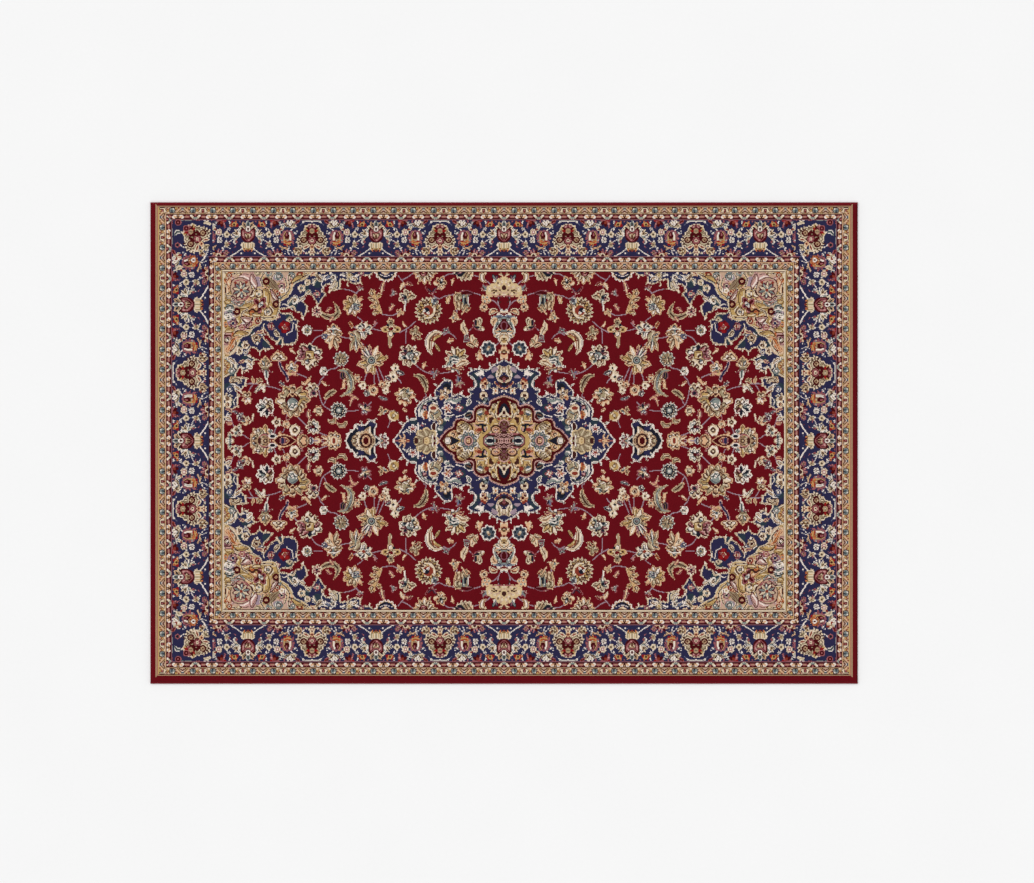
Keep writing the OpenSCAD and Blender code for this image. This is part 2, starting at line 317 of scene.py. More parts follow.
def field_centre_column(w):
    """The vase of flowers above and below the medallion, on the short axis."""
    petals(w, 62, 504, ((60, 18, 9, "grey"), (10, 16, 9, "mauve"), (120, 14, 8, "blue")), "mauve")
    petals(w, 28, 534, ((60, 20, 10, "grey"), (110, 16, 9, "mauve")), "night")
    blades(w, 15, "cream", "peach", [(56, 556), (72, 552), (72, 536), (58, 524)])
    blades(w, 9, "tan", None, [(2, 546), (8, 552), (18, 552)])
    w.disc(2, 508, 32, "straw", 0.9)
    w.disc(30, 500, 22, "straw", 0.8)
    dots(w, "straw", 9, (4, 536), (17, 530), (24, 516), (38, 514), (50, 506), (52, 494), (44, 486),
        (28, 486))
    dots(w, "sand", 4, (8, 520), (16, 506), (10, 494), (24, 508), (20, 492), (42, 506), (2, 490), (40, 488),
        (12, 534))
    dots(w, "cream", 4.4, (31, 511), (26, 486), (49, 499), (6, 528), (16, 518), (48, 508), (4, 484))
    w.disc(1, 508, 6, "brown", 1.5)
    dots(w, "brown", 3.4, (26, 498), (34, 500), (33, 492))
    dots(w, "umber", 3.4, (14, 486), (14, 500), (20, 524), (40, 498))
    lines(w, "rose", 3, [(0, 481), (14, 480), (38, 481)])
    for x, y in ((50, 466), (64, 464), (56, 476), (68, 476)):
        flower(w, x, y, 9, 5, "peach", "grey", 3)
    lines(w, "brown", 4, [(14, 478), (18, 466), (12, 460)])
    flower(w, 66, 444, 15, 5, "peach", "brown", 5)
    blades(w, 15, "peach", "cream", [(22, 428), (34, 432), (50, 418)])
    dots(w, "white", 6, (6, 432), (18, 418))
    w.stroke([(0, 424), (10, 428), (18, 422)], 6, "cream")
    w.stroke([(0, 411), (16, 411), (36, 406)], 15, "grey")
    lines(w, "blue", 6, [(0, 414), (14, 414), (30, 409)])
    lines(w, "night", 3.4, [(0, 400), (20, 402), (38, 400)])
    blades(w, 17, "peach", "cream", [(24, 404), (34, 398), (36, 384)])
    w.disc(0, 384, 20, "dark", 1.1)
    lines(w, "grey", 11, [(14, 400), (25, 384), (32, 364), (24, 346)])
    lines(w, "night", 3.4, [(20, 392), (27, 372), (20, 352)])
    lines(w, "mauve", 3.4, [(0, 396), (8, 390), (10, 378), (4, 368)])
    petals(w, 8, 360, ((10, 24, 9, "grey"), (-30, 26, 9, "white"), (40, 16, 8, "night"),
        (200, 16, 8, "white")), "peach")
    petals(w, 4, 352, ((-20, 26, 10, "cream"), (-60, 24, 12, "peach"), (190, 16, 9, "white"),
        (-95, 22, 12, "gold")), "grey")
    w.disc(0, 332, 15, "gold", 0.9)
    lines(w, "cream", 4, [(0, 346), (10, 342), (14, 328)])
    dots(w, "brown", 4, (0, 338))
    petals(w, 0, 290, ((90, 26, 16, "peach"), (30, 18, 12, "peach"), (-60, 20, 14, "peach")), "peach")
    dots(w, "gold", 5, (2, 296))


def field_frame_side(w):
    """Flowers along the frame, between the vase and the navy band."""
    petals(w, 130, 566, ((-150, 32, 15, "peach"), (-120, 38, 14, "olive"), (-95, 36, 14, "tan"),
        (-70, 36, 13, "olive"), (-40, 34, 16, "night"), (-15, 38, 15, "mauve")), "cream")
    lines(w, "night", 5, [(130, 560), (146, 546), (160, 556)], [(150, 562), (164, 552)])
    lines(w, "brown", 3.4, [(110, 556), (122, 542)], [(120, 562), (134, 536)])
    blades(w, 9, "peach", None, [(165, 540), (170, 530), (174, 518)])
    petals(w, 211, 522, ((170, 22, 14, "olive"), (110, 24, 13, "grey"), (60, 22, 12, "olive"),
        (5, 22, 14, "peach"), (-60, 20, 12, "tan"), (-115, 20, 12, "cream")), "peach")
    dots(w, "night", 5, (210, 525))
    lines(w, "mauve", 7, [(224, 508), (240, 488), (260, 508)], [(240, 490), (235, 480)])
    lines(w, "night", 3.4, [(230, 506), (240, 496), (252, 506)])
    petals(w, 264, 566, ((-165, 42, 14, "olive"), (-140, 40, 15, "cream"), (-115, 44, 14, "tan"),
        (-90, 48, 14, "cream"), (-65, 44, 14, "olive"), (-40, 40, 14, "cream"), (-15, 40, 13, "tan")),
        "peach")
    w.disc(268, 560, 15, "dark")
    dots(w, "rose", 7, (268, 554))
    dots(w, "peach", 4, (268, 562), (246, 524), (284, 524))
    blades(w, 11, "peach", "gold", [(178, 482), (186, 470), (189, 452)])
    bell(w)
    blades(w, 12, "peach", "rose", [(306, 516), (318, 522), (330, 516)])
    blades(w, 10, "cream", "peach", [(332, 526), (340, 512), (344, 500)])
    petals(w, 322, 474, ((165, 30, 15, "olive"), (125, 26, 14, "peach"), (80, 30, 14, "olive"),
        (30, 28, 13, "grey"), (-10, 28, 14, "mauve"), (-50, 20, 12, "grey")), "cream")
    dots(w, "night", 6, (328, 476))
    lines(w, "grey", 8, [(324, 462), (328, 446), (328, 434)])
    petals(w, 366, 490, ((70, 14, 9, "grey"), (180, 14, 9, "mauve"), (-40, 14, 9, "grey")), "mauve")
    petals(w, 346, 425, ((180, 16, 10, "tan"), (110, 14, 9, "olive"), (40, 13, 9, "peach"),
        (-60, 13, 9, "tan")), "peach")
    blades(w, 10, "peach", "rose", [(368, 455), (374, 442), (381, 430)])
    antler(w)


def bell(w):
    """The hanging flower beside the vase, and the small leaf under it."""
    w.polygon([(114, 484), (118, 440), (136, 432), (140, 488)], "olive")
    lines(w, "grey", 8, [(118, 480), (120, 446)], [(134, 482), (133, 446)])
    lines(w, "night", 3.4, [(126, 480), (125, 446)], [(139, 484), (138, 440)], [(130, 474), (130, 452)])
    lines(w, "dark", 10, [(106, 488), (122, 492), (140, 488)])
    lines(w, "mauve", 3.4, [(100, 490), (118, 498), (142, 496), (158, 490)], [(108, 486), (124, 486)])
    w.disc(154, 478, 14, "olive")
    w.disc(150, 450, 15, "tan", 1.1)
    lines(w, "peach", 3.4, [(144, 492), (162, 490), (166, 474), (164, 452), (160, 436)],
        [(108, 440), (120, 442)])
    lines(w, "brown", 3, [(148, 486), (156, 474), (150, 466)], [(142, 462), (144, 440)],
        [(158, 462), (154, 444)])
    petals(w, 126, 444, ((-100, 18, 10, "olive"), (-150, 18, 8, "peach"), (-60, 30, 8, "peach")), "peach")
    petals(w, 163, 410, ((90, 18, 11, "olive"), (200, 18, 11, "peach"), (-10, 14, 11, "grey"),
        (-70, 18, 8, "peach"), (150, 14, 10, "tan")), "peach")


def antler(w):
    """The branching leaf beside the frame's half flower."""
    for path in ([(404, 420), (416, 440), (425, 462), (431, 482), (430, 504)],
            [(416, 440), (432, 446), (448, 446)], [(424, 464), (438, 470), (452, 476)],
            [(410, 430), (426, 426), (440, 422)], [(424, 474), (416, 482), (406, 484)],
            [(430, 484), (440, 490), (440, 502)]):
        blades(w, 13, "gold", "peach", path)


def field_inner_sprays(w):
    """Flowers between the medallion and the first row, nearest the short axis first."""
    w.disc(251, 432, 40, "brown")
    for n, r, fill, rim in ((20, 46, "olive", "cream"), (17, 38, "tan", "brown"),
            (13, 29, "cream", "brown")):
        whorl(w, 251, 432, n, r, r, 11, ("gold", fill, fill), rim)
    w.disc(252, 433, 17, "rust")
    dots(w, "night", 9, (257, 434))
    dots(w, "white", 5, (266, 432), (252, 424))
    lines(w, "cream", 6, [(230, 446), (233, 424), (244, 410), (262, 408)])
    w.disc(231, 464, 12, "grey")
    dots(w, "blue", 5, (231, 464))
    petals(w, 84, 380, ((100, 30, 14, "olive"), (70, 26, 10, "tan"), (50, 28, 9, "peach"),
        (-150, 22, 12, "cream"), (-120, 14, 10, "olive")), "cream")
    lines(w, "night", 7, [(94, 398), (93, 386)], [(84, 376), (96, 378)])
    lines(w, "mauve", 3.4, [(98, 400), (100, 382), (108, 372)], [(78, 368), (90, 368), (100, 376)])
    blades(w, 17, "cream", "peach", [(134, 396), (136, 378), (128, 362), (120, 346)],
        [(88, 312), (100, 330), (110, 354)])
    blades(w, 13, "olive", "peach", [(88, 340), (98, 328), (104, 312)], [(98, 310), (112, 320), (126, 318)])
    blades(w, 11, "mauve", "grey", [(112, 334), (124, 334), (136, 330)],
        [(118, 350), (126, 346), (130, 338)])
    whorl(w, 52, 306, 8, 10, 25, 16, ("slate",), "white", 0.4)
    dots(w, "night", 3.4, *(turned(52, 306, a, 15) for a in range(10, 370, 45)))
    dots(w, "tan", 5, (50, 310))
    dots(w, "cream", 4, (54, 304))
    petals(w, 78, 284, ((80, 16, 9, "peach"), (-60, 20, 11, "peach"), (-120, 18, 10, "peach"),
        (10, 16, 9, "peach")), "peach")
    blades(w, 25, "cream", "white", [(204, 358), (230, 354), (246, 334), (247, 306), (238, 282)])
    blades(w, 11, "gold", "brown", [(206, 350), (226, 344), (237, 326)],
        [(212, 296), (222, 310), (230, 326)])
    lines(w, "rust", 3.4, [(214, 356), (236, 342), (242, 316), (238, 294)])
    blades(w, 12, "grey", "mauve", [(178, 358), (192, 364), (206, 356)],
        [(184, 372), (192, 368), (204, 368)])
    blades(w, 11, "peach", None, [(162, 334), (176, 334), (190, 324)])
    shoulder_flower(w)
    petals(w, 229, 224, ((120, 17, 8, "grey"), (60, 15, 8, "mauve"), (20, 18, 8, "blue"),
        (-70, 22, 8, "grey"), (180, 14, 8, "mauve")), "mauve")
    cluster_flower(w)
    blades(w, 10, "peach", None, [(259, 262), (264, 252), (270, 238)])
    toothed(w, [(262, 158), (258, 176), (266, 198), (280, 214), (302, 216)], 22, "olive", 6)
    petals(w, 328, 150, ((185, 38, 13, "peach"), (150, 32, 13, "olive"), (115, 30, 13, "grey"),
        (80, 28, 12, "olive"), (45, 32, 13, "cream"), (10, 38, 12, "olive"), (-25, 32, 13, "tan"),
        (-55, 34, 14, "peach"), (-90, 36, 14, "peach"), (-125, 32, 13, "cream")), "peach")
    w.disc(328, 148, 13, "olive")
    lines(w, "night", 4, [(318, 162), (330, 172), (342, 164)], [(308, 152), (320, 148)])
    lines(w, "white", 3.4, [(304, 160), (318, 158)], [(338, 162), (348, 154)], [(322, 142), (334, 138)])
    blades(w, 9, "peach", None, [(318, 98), (328, 102), (338, 108)])


def toothed(w, path, width, colour, teeth):
    """A long leaf with saw teeth, a light edge and a dark vein."""
    leaf(w, path, width, colour, edge="peach", teeth=teeth, vein="brown", belly=0.5)


def shoulder_flower(w):
    """The large flower that leans over the medallion's shoulder."""
    petals(w, 158, 272, ((200, 46, 17, "cream"), (165, 40, 14, "olive"), (132, 44, 16, "gold"),
        (100, 38, 16, "gold"), (68, 42, 16, "cream"), (35, 44, 14, "peach"), (0, 38, 15, "peach"),
        (-30, 40, 14, "grey")), "cream")
    lines(w, "brown", 3.4, [(136, 300), (150, 290), (154, 278)], [(160, 304), (160, 286)],
        [(176, 300), (170, 286)])
    w.disc(166, 270, 17, "grey", 0.85)
    lines(w, "white", 3.4, [(148, 272), (156, 268), (166, 274), (178, 268)],
        [(152, 262), (164, 264), (174, 258)])
    lines(w, "night", 3.4, [(150, 280), (160, 277), (176, 281)], [(154, 266), (170, 268)],
        [(176, 274), (178, 256)])
    blades(w, 14, "cream", "peach", [(120, 262), (138, 258), (160, 244)])
    lines(w, "grey", 8, [(172, 250), (188, 248), (202, 246)])
    lines(w, "tan", 8, [(146, 226), (154, 238), (168, 240), (188, 238)])
    lines(w, "blue", 3.4, [(150, 222), (158, 234), (174, 240)])
    dots(w, "white", 7, (170, 234))
    blades(w, 10, "rose", "peach", [(136, 236), (144, 242), (152, 238)])
    petals(w, 150, 196, ((80, 22, 9, "blue"), (110, 20, 9, "night"), (200, 20, 9, "olive"),
        (-60, 20, 10, "olive"), (-110, 18, 8, "tan"), (30, 14, 8, "grey")), "mauve")


def cluster_flower(w):
    """The crowded flower at the end of the vine over the medallion."""
    petals(w, 314, 284, ((170, 36, 17, "white"), (205, 34, 15, "gold"), (235, 36, 15, "grey"),
        (-90, 38, 16, "olive"), (-58, 38, 15, "tan"), (-20, 36, 16, "grey"), (15, 34, 15, "mauve"),
        (50, 40, 15, "mauve"), (85, 36, 15, "olive"), (125, 36, 15, "cream")), "cream")
    w.disc(312, 282, 15, "grey")
    dots(w, "night", 5, (328, 298), (306, 298), (330, 274), (300, 268))
    dots(w, "olive", 7, (315, 262), (296, 274))
    dots(w, "white", 4, (344, 284), (298, 312), (310, 282))


def field_middle_sprays(w):
    """The second row of flowers, towards the navy band."""
    petals(w, 374, 370, ((85, 36, 20, "olive"), (180, 30, 18, "gold"), (0, 32, 18, "gold"),
        (-80, 28, 18, "cream")), "peach")
    dots(w, "red", 6, (374, 372))
    dots(w, "night", 5, (366, 356), (386, 384))
    dots(w, "brown", 4, (376, 392), (354, 369), (394, 368))
    lines(w, "olive", 11, [(380, 342), (380, 326), (376, 312)])
    lines(w, "tan", 5, [(380, 344), (380, 312)])
    petals(w, 296, 352, ((100, 30, 15, "olive"), (170, 22, 13, "olive"), (220, 24, 12, "peach"),
        (-70, 16, 12, "tan"), (40, 22, 12, "olive")), "tan")
    blades(w, 10, "peach", None, [(322, 378), (330, 386), (336, 396)])
    lily(w)
    under_lily(w)
    leaf(w, [(548, 234), (522, 228), (508, 196), (512, 166), (540, 148)], 24, "olive", edge="tan",
        vein="grey")
    blades(w, 16, "night", "mauve", [(536, 228), (536, 214), (530, 202)])
    blades(w, 8, "peach", None, [(520, 206), (530, 200), (536, 194)], [(522, 194), (532, 188), (538, 182)],
        [(524, 182), (534, 178), (542, 170)])
    whorl(w, 541, 272, 9, 5, 24, 13, ("tan", "olive"), "grey")
    lines(w, "night", 3, *[[turned(541, 272, a, 6), turned(541, 272, a, 20)] for a in (10, 50, 90, 130,
        170)])
    dots(w, "olive", 6, (541, 270))
    flower(w, 598, 231, 15, 6, "white", "grey", 5)
    toothed(w, [(556, 166), (574, 160), (596, 140)], 19, "olive", 4)
    petals(w, 632, 168, ((60, 28, 14, "cream"), (20, 24, 13, "olive"), (100, 24, 12, "tan"),
        (-60, 26, 13, "mauve"), (-110, 22, 12, "mauve"), (-20, 18, 12, "olive"), (150, 20, 12, "grey")),
        "cream")
    w.disc(632, 158, 9, "mauve")
    dots(w, "night", 6, (632, 158))
    blades(w, 10, "peach", None, [(640, 212), (652, 196), (656, 186)], [(652, 190), (662, 190), (674, 192)],
        [(584, 182), (596, 190), (606, 200)])
    flower(w, 615, 100, 18, 6, "peach", "olive", 8)
    blades(w, 13, "peach", "rose", [(646, 74), (650, 88), (648, 104)])
    bloom_column(w)
    rose_flower(w)


def lily(w):
    """The large lily in the middle of the field's quarter."""
    petals(w, 438, 266, ((168, 54, 18, "gold"), (200, 38, 15, "tan"), (142, 40, 14, "olive"),
        (-95, 46, 18, "gold"), (-65, 48, 16, "cream"), (-35, 40, 14, "olive"), (-15, 52, 16, "gold"),
        (110, 52, 14, "cream"), (80, 54, 11, "mauve"), (60, 56, 10, "grey"), (45, 52, 11, "mauve"),
        (20, 40, 13, "olive")), "peach")
    lines(w, "night", 3, [(444, 284), (452, 304), (456, 318)], [(450, 280), (464, 298), (474, 308)],
        [(454, 276), (470, 286), (482, 292)])
    lines(w, "white", 3, [(448, 284), (458, 306)], [(452, 278), (470, 298)], [(432, 286), (424, 306)])
    lines(w, "brown", 3, [(396, 282), (416, 272), (430, 268)], [(438, 232), (438, 252)],
        [(462, 240), (448, 256)])
    rings(w, 440, 267, (15, "cream"), (13, "night"), (9.5, "grey"), (5, "blue"))


def under_lily(w):
    """Small flowers that hang from the lily, down to the vine beside the medallion's end."""
    for x, y, r, n, petal, eye in ((360, 242, 15, 5, "cream", "night"), (368, 212, 18, 6, "cream", "night"),
            (388, 190, 13, 5, "cream", "brown"), (404, 188, 12, 5, "peach", "brown"),
            (392, 168, 13, 5, "cream", "brown"), (434, 168, 19, 7, "peach", "brown"),
            (468, 184, 14, 6, "cream", "brown"), (487, 207, 14, 6, "peach", "brown"),
            (366, 83, 19, 7, "gold", "cream")):
        flower(w, x, y, r, n, petal, eye, r * 0.24)
    blades(w, 13, "blue", "grey", [(332, 220), (344, 226), (358, 230)], [(452, 150), (456, 156), (462, 166)])
    blades(w, 12, "grey", "mauve", [(384, 138), (400, 140), (418, 148)],
        [(378, 204), (386, 208), (394, 214)])
    petals(w, 402, 94, ((150, 18, 12, "grey"), (60, 20, 12, "olive"), (-30, 14, 10, "tan")), "peach")
    petals(w, 462, 104, ((40, 26, 14, "cream"), (95, 22, 12, "night"), (150, 22, 12, "olive"),
        (-60, 18, 12, "blue"), (-110, 16, 12, "grey"), (190, 20, 10, "peach")), "mauve")
    blades(w, 10, "peach", "rose", [(482, 138), (500, 144), (512, 118)],
        [(498, 142), (506, 150), (516, 150)])
    for n, r, fill, rim in ((13, 28, "white", "grey"), (11, 21, "cream", "night"), (8, 13, "grey", "night")):
        whorl(w, 549, 101, n, r, r, 10, (fill,), rim)
    dots(w, "white", 4, (549, 101))
    blades(w, 13, "olive", "peach", [(522, 66), (532, 52), (544, 50), (556, 62)],
        [(560, 76), (570, 62), (586, 70)])


def bloom_column(w):
    """The flowers one above another between the lily and the band."""
    petals(w, 500, 450, ((20, 36, 17, "gold"), (-20, 34, 16, "gold"), (60, 36, 15, "tan"),
        (100, 38, 14, "olive"), (140, 34, 14, "cream"), (180, 28, 13, "grey"), (220, 30, 14, "blue"),
        (-60, 36, 16, "white"), (-100, 36, 15, "cream")), "peach")
    w.disc(496, 446, 12, "grey")
    dots(w, "blue", 5, (494, 446))
    lines(w, "brown", 3, [(506, 456), (524, 462)], [(506, 444), (524, 438)], [(502, 462), (506, 478)],
        [(504, 432), (512, 420)])
    blades(w, 11, "peach", None, [(470, 478), (480, 466), (486, 458)])
    petals(w, 478, 504, ((160, 14, 9, "grey"), (80, 13, 8, "mauve"), (20, 12, 8, "tan")), "mauve")
    toothed(w, [(566, 460), (556, 444), (552, 424), (572, 410), (604, 420), (618, 444)], 19, "olive", 6)
    blades(w, 10, "peach", "rose", [(566, 412), (574, 404), (578, 392)],
        [(570, 440), (580, 438), (592, 428)])
    whorl(w, 622, 428, 6, 20, 18, 9, ("rose", "mauve"))
    dots(w, "night", 4, (622, 428))
    petals(w, 465, 366, ((150, 30, 15, "grey"), (110, 30, 15, "cream"), (70, 28, 14, "grey"),
        (30, 30, 14, "white"), (-10, 26, 14, "cream"), (-50, 30, 15, "white"), (-90, 28, 14, "grey"),
        (200, 24, 14, "white")), "cream")
    dots(w, "rust", 6, (466, 368))
    dots(w, "night", 4, (478, 380), (452, 356), (484, 358))
    blades(w, 10, "orange", "peach", [(502, 376), (510, 388), (515, 398)])
    blades(w, 9, "rose", None, [(424, 402), (428, 392), (432, 386)])
    petals(w, 494, 346, ((-70, 50, 13, "olive"), (-95, 54, 13, "grey"), (-120, 46, 13, "olive"),
        (30, 24, 12, "grey")), "peach")
    petals(w, 566, 348, ((90, 40, 18, "grey"), (120, 34, 15, "olive"), (55, 38, 14, "peach"),
        (160, 30, 15, "tan"), (20, 32, 15, "cream"), (-40, 34, 15, "cream"), (-75, 46, 15, "peach"),
        (-105, 48, 14, "olive"), (-140, 32, 14, "tan")), "peach")
    lines(w, "white", 3.4, [(540, 364), (560, 372), (584, 370)], [(560, 352), (574, 356)])
    lines(w, "brown", 3, [(552, 350), (564, 340), (566, 322)], [(578, 340), (582, 328)])
    w.disc(596, 346, 10, "blue")
    dots(w, "grey", 6, (597, 346))
    w.disc(653, 367, 17, "olive")
    dots(w, "white", 5.6, *(turned(653, 367, a, 13) for a in range(0, 360, 45)))
    dots(w, "slate", 4.4, (653, 367))


def rose_flower(w):
    """The large rose and cream flower, with the small ones beside it."""
    petals(w, 645, 284, ((160, 44, 20, "white"), (195, 40, 18, "rose"), (125, 36, 17, "grey"),
        (90, 40, 17, "night"), (50, 46, 21, "rose"), (15, 42, 18, "mauve"), (-15, 48, 19, "rose"),
        (-50, 40, 17, "tan"), (-85, 48, 22, "cream"), (-120, 42, 18, "cream"), (220, 36, 16, "cream")),
        "cream")
    dots(w, "grey", 8, (655, 262), (632, 306))
    dots(w, "mauve", 6, (676, 304), (678, 280), (616, 278))
    dots(w, "tan", 6, (640, 246), (624, 258), (606, 300))
    w.disc(645, 285, 17, "brown")
    w.polygon([(632, 273), (632, 297), (658, 297), (658, 273)], "gold")
    dots(w, "olive", 6, (651, 279))
    blades(w, 10, "peach", None, [(692, 292), (702, 300), (714, 308)])


def field_outer_sprays(w):
    """Flowers between the rose flower and the navy band, and along the long axis."""
    petals(w, 747, 274, ((180, 24, 16, "cream"), (0, 26, 16, "cream"), (80, 24, 16, "peach"),
        (40, 22, 14, "cream"), (130, 22, 14, "cream")), "peach")
    dots(w, "olive", 7, (747, 272))
    petals(w, 706, 238, ((90, 24, 14, "white"), (150, 24, 13, "cream"), (200, 20, 13, "white"),
        (-70, 22, 14, "gold"), (30, 20, 12, "cream")), "peach")
    dots(w, "slate", 5, (706, 240))
    lines(w, "pink", 11, [(746, 262), (741, 244), (732, 230), (722, 218), (718, 200)])
    lines(w, "navy", 7, [(745, 258), (740, 242), (731, 229), (722, 216), (719, 204)])
    blades(w, 10, "peach", "rose", [(684, 216), (698, 222), (712, 224)])
    petals(w, 793, 244, ((90, 36, 17, "olive"), (35, 26, 13, "cream"), (145, 26, 13, "cream"),
        (65, 30, 12, "grey"), (115, 30, 12, "tan")), "peach")
    lines(w, "brown", 3, [(780, 240), (792, 236), (806, 240)], [(793, 250), (793, 268)])
    lines(w, "mauve", 4, [(772, 228), (792, 232), (812, 230)])
    lines(w, "grey", 14, [(790, 228), (789, 216)])
    lines(w, "grey", 9, [(789, 218), (787, 204), (784, 192)])
    lines(w, "night", 3, [(790, 232), (788, 212)])
    butterfly(w)
    long_axis(w)
    petals(w, 787, 112, ((120, 30, 17, "olive"), (80, 32, 15, "cream"), (160, 24, 15, "cream"),
        (200, 24, 15, "olive"), (40, 34, 15, "white"), (5, 38, 14, "grey"), (-25, 34, 13, "night"),
        (-55, 36, 14, "white"), (-90, 34, 13, "night"), (-130, 26, 14, "mauve")), "white")
    dots(w, "gold", 8, (786, 116))
    lines(w, "night", 3.4, [(796, 118), (806, 124)], [(796, 108), (810, 106)], [(792, 100), (800, 90)])
    petals(w, 800, 176, ((120, 12, 10, "white"), (60, 14, 11, "cream"), (-110, 16, 9, "white"),
        (15, 16, 10, "white")), "cream")
    blades(w, 12, "olive", "peach", [(802, 196), (812, 202), (822, 190)])
    blades(w, 11, "cream", "grey", [(808, 182), (818, 172), (826, 160)])
    blades(w, 9, "tan", "peach", [(832, 190), (834, 202), (840, 214)])
    petals(w, 852, 142, ((60, 24, 14, "olive"), (110, 22, 13, "tan"), (200, 16, 9, "white"),
        (-120, 20, 9, "white"), (-70, 22, 9, "white"), (-20, 18, 9, "mauve")), "peach")
    lines(w, "cream", 6, [(832, 88), (836, 70), (846, 60), (856, 66)])
    petals(w, 858, 62, ((120, 22, 11, "peach"), (70, 22, 12, "cream"), (30, 32, 13, "grey"),
        (55, 30, 10, "mauve")), "cream")
    petals(w, 878, 84, ((150, 16, 10, "grey"), (40, 26, 11, "grey"), (-90, 20, 12, "blue")), "mauve")
    blades(w, 11, "peach", "rose", [(902, 60), (912, 56), (922, 58)])
    petals(w, 884, 32, ((110, 22, 12, "grey"), (180, 16, 11, "white"), (230, 18, 11, "mauve"),
        (-50, 18, 12, "grey"), (10, 22, 11, "cream"), (60, 18, 11, "olive")), "cream")
    dots(w, "night", 3.4, (882, 34), (890, 22))
    petals(w, 910, 4, ((90, 24, 11, "grey"), (-90, 22, 11, "grey"), (0, 14, 10, "white"),
        (180, 14, 10, "cream")), "cream")
    dots(w, "night", 3.4, (909, 12), (909, -3))


def butterfly(w):
    """The great winged palmette near the navy band."""
    petals(w, 702, 128, ((60, 62, 20, "olive"), (90, 56, 22, "tan"), (120, 60, 20, "olive"),
        (145, 62, 24, "gold"), (170, 60, 24, "olive"), (200, 48, 22, "tan"), (30, 54, 22, "olive"),
        (5, 58, 22, "cream"), (-20, 46, 18, "olive"), (225, 46, 22, "olive"), (-110, 52, 22, "tan"),
        (-80, 52, 22, "olive"), (-50, 50, 20, "tan")), "peach")
    w.disc(702, 136, 26, "dark", 0.8)
    lines(w, "brown", 4, [(672, 132), (682, 116), (690, 100)], [(732, 116), (716, 104)],
        [(690, 100), (702, 94)])
    lines(w, "gold", 7, [(656, 136), (670, 138), (684, 120)], [(716, 176), (726, 178), (732, 170)])
    w.disc(702, 124, 18, "grey")
    lines(w, "white", 3.4, [(690, 116), (696, 110), (704, 118), (712, 112)], [(700, 104), (712, 106)])
    lines(w, "night", 3, [(694, 120), (702, 108)], [(708, 118), (716, 110)])
    lines(w, "peach", 4, [(688, 150), (696, 156), (702, 146), (712, 156), (718, 148)])
    dots(w, "brown", 3.4, (700, 152))
    blades(w, 11, "grey", "mauve", [(728, 184), (738, 190), (748, 196)])
    blades(w, 9, "peach", None, [(686, 178), (700, 182), (716, 178)])


def long_axis(w):
    """What stands on the long axis, from the pendant out to the navy band."""
    petals(w, 400, 4, ((60, 18, 10, "mauve"), (110, 20, 10, "grey"), (160, 16, 10, "mauve"),
        (10, 20, 10, "peach")), "white")
    petals(w, 564, 3, ((20, 26, 15, "cream"), (60, 28, 15, "olive"), (100, 28, 14, "cream"),
        (140, 26, 14, "grey"), (175, 24, 13, "cream"), (-20, 26, 13, "olive")), "peach")
    rings(w, 565, 3, (13, "peach"), (10, "cream"), (6, "rust"))
    blades(w, 10, "peach", None, [(582, 2), (594, 10), (606, 14)], [(606, 2), (618, 8), (630, 4)])
    dots(w, "blue", 9, (642, 3))
    dots(w, "grey", 6, (643, 4))
    petals(w, 632, 46, ((90, 24, 15, "grey"), (45, 26, 14, "olive"), (135, 22, 14, "grey"),
        (180, 20, 13, "white"), (0, 26, 13, "mauve"), (-45, 26, 13, "night"), (-90, 24, 14, "white"),
        (-135, 24, 13, "night")), "cream")
    dots(w, "dark", 6, (634, 46))
    dots(w, "white", 3, (622, 34), (642, 34), (626, 58))
    for x, y, r, n, petal, eye in ((667, 3, 20, 8, "tan", "gold"), (694, 36, 20, 7, "cream", "olive"),
            (721, 55, 14, 6, "peach", "olive"), (754, 62, 17, 5, "cream", "olive")):
        flower(w, x, y, r, n, petal, eye, r * 0.3)
    dots(w, "peach", 9, (663, 8), (672, -2))
    blades(w, 8, "rose", None, [(664, 32), (672, 28), (680, 24)], [(724, 78), (720, 72), (716, 66)],
        [(762, 80), (768, 88), (776, 92)])
    w.polygon([(684, 0), (702, 14), (728, 23), (752, 20), (772, 0)], "peach")
    w.polygon([(692, 0), (707, 11), (728, 18.5), (748, 15), (764, 0)], "dark")
    drop(w, 712, 2, 0, 32, 22, "peach")
    rings(w, 735, 3, (9, "mauve"), (6, "navy"))
    blades(w, 9, "peach", None, [(736, 20), (744, 26), (750, 22)])
    petals(w, 800, 2, ((170, 34, 16, "peach"), (125, 30, 16, "rose"), (100, 54, 17, "gold"),
        (75, 44, 16, "olive"), (50, 52, 17, "cream"), (25, 40, 16, "olive"), (0, 36, 16, "tan"),
        (-30, 34, 16, "peach")), "peach")
    lines(w, "rose", 4, [(770, 6), (784, 18), (800, 20), (814, 10)])
    w.disc(794, 2, 13, "tan")
    dots(w, "gold", 6, (792, 2))
    dots(w, "brown", 6, (812, 4))
    lines(w, "brown", 3, [(806, 32), (812, 20)], [(822, 30), (818, 14)])
    dots(w, "grey", 6, (816, 34), (832, 8))
    w.disc(768, 16, 15, "white", 0.6)
    w.disc(768, 15, 9, "night", 0.55)
    blades(w, 11, "white", "grey", [(768, 26), (776, 32), (784, 38)])
    lines(w, "tan", 6, [(838, 24), (840, 10), (838, 0)])


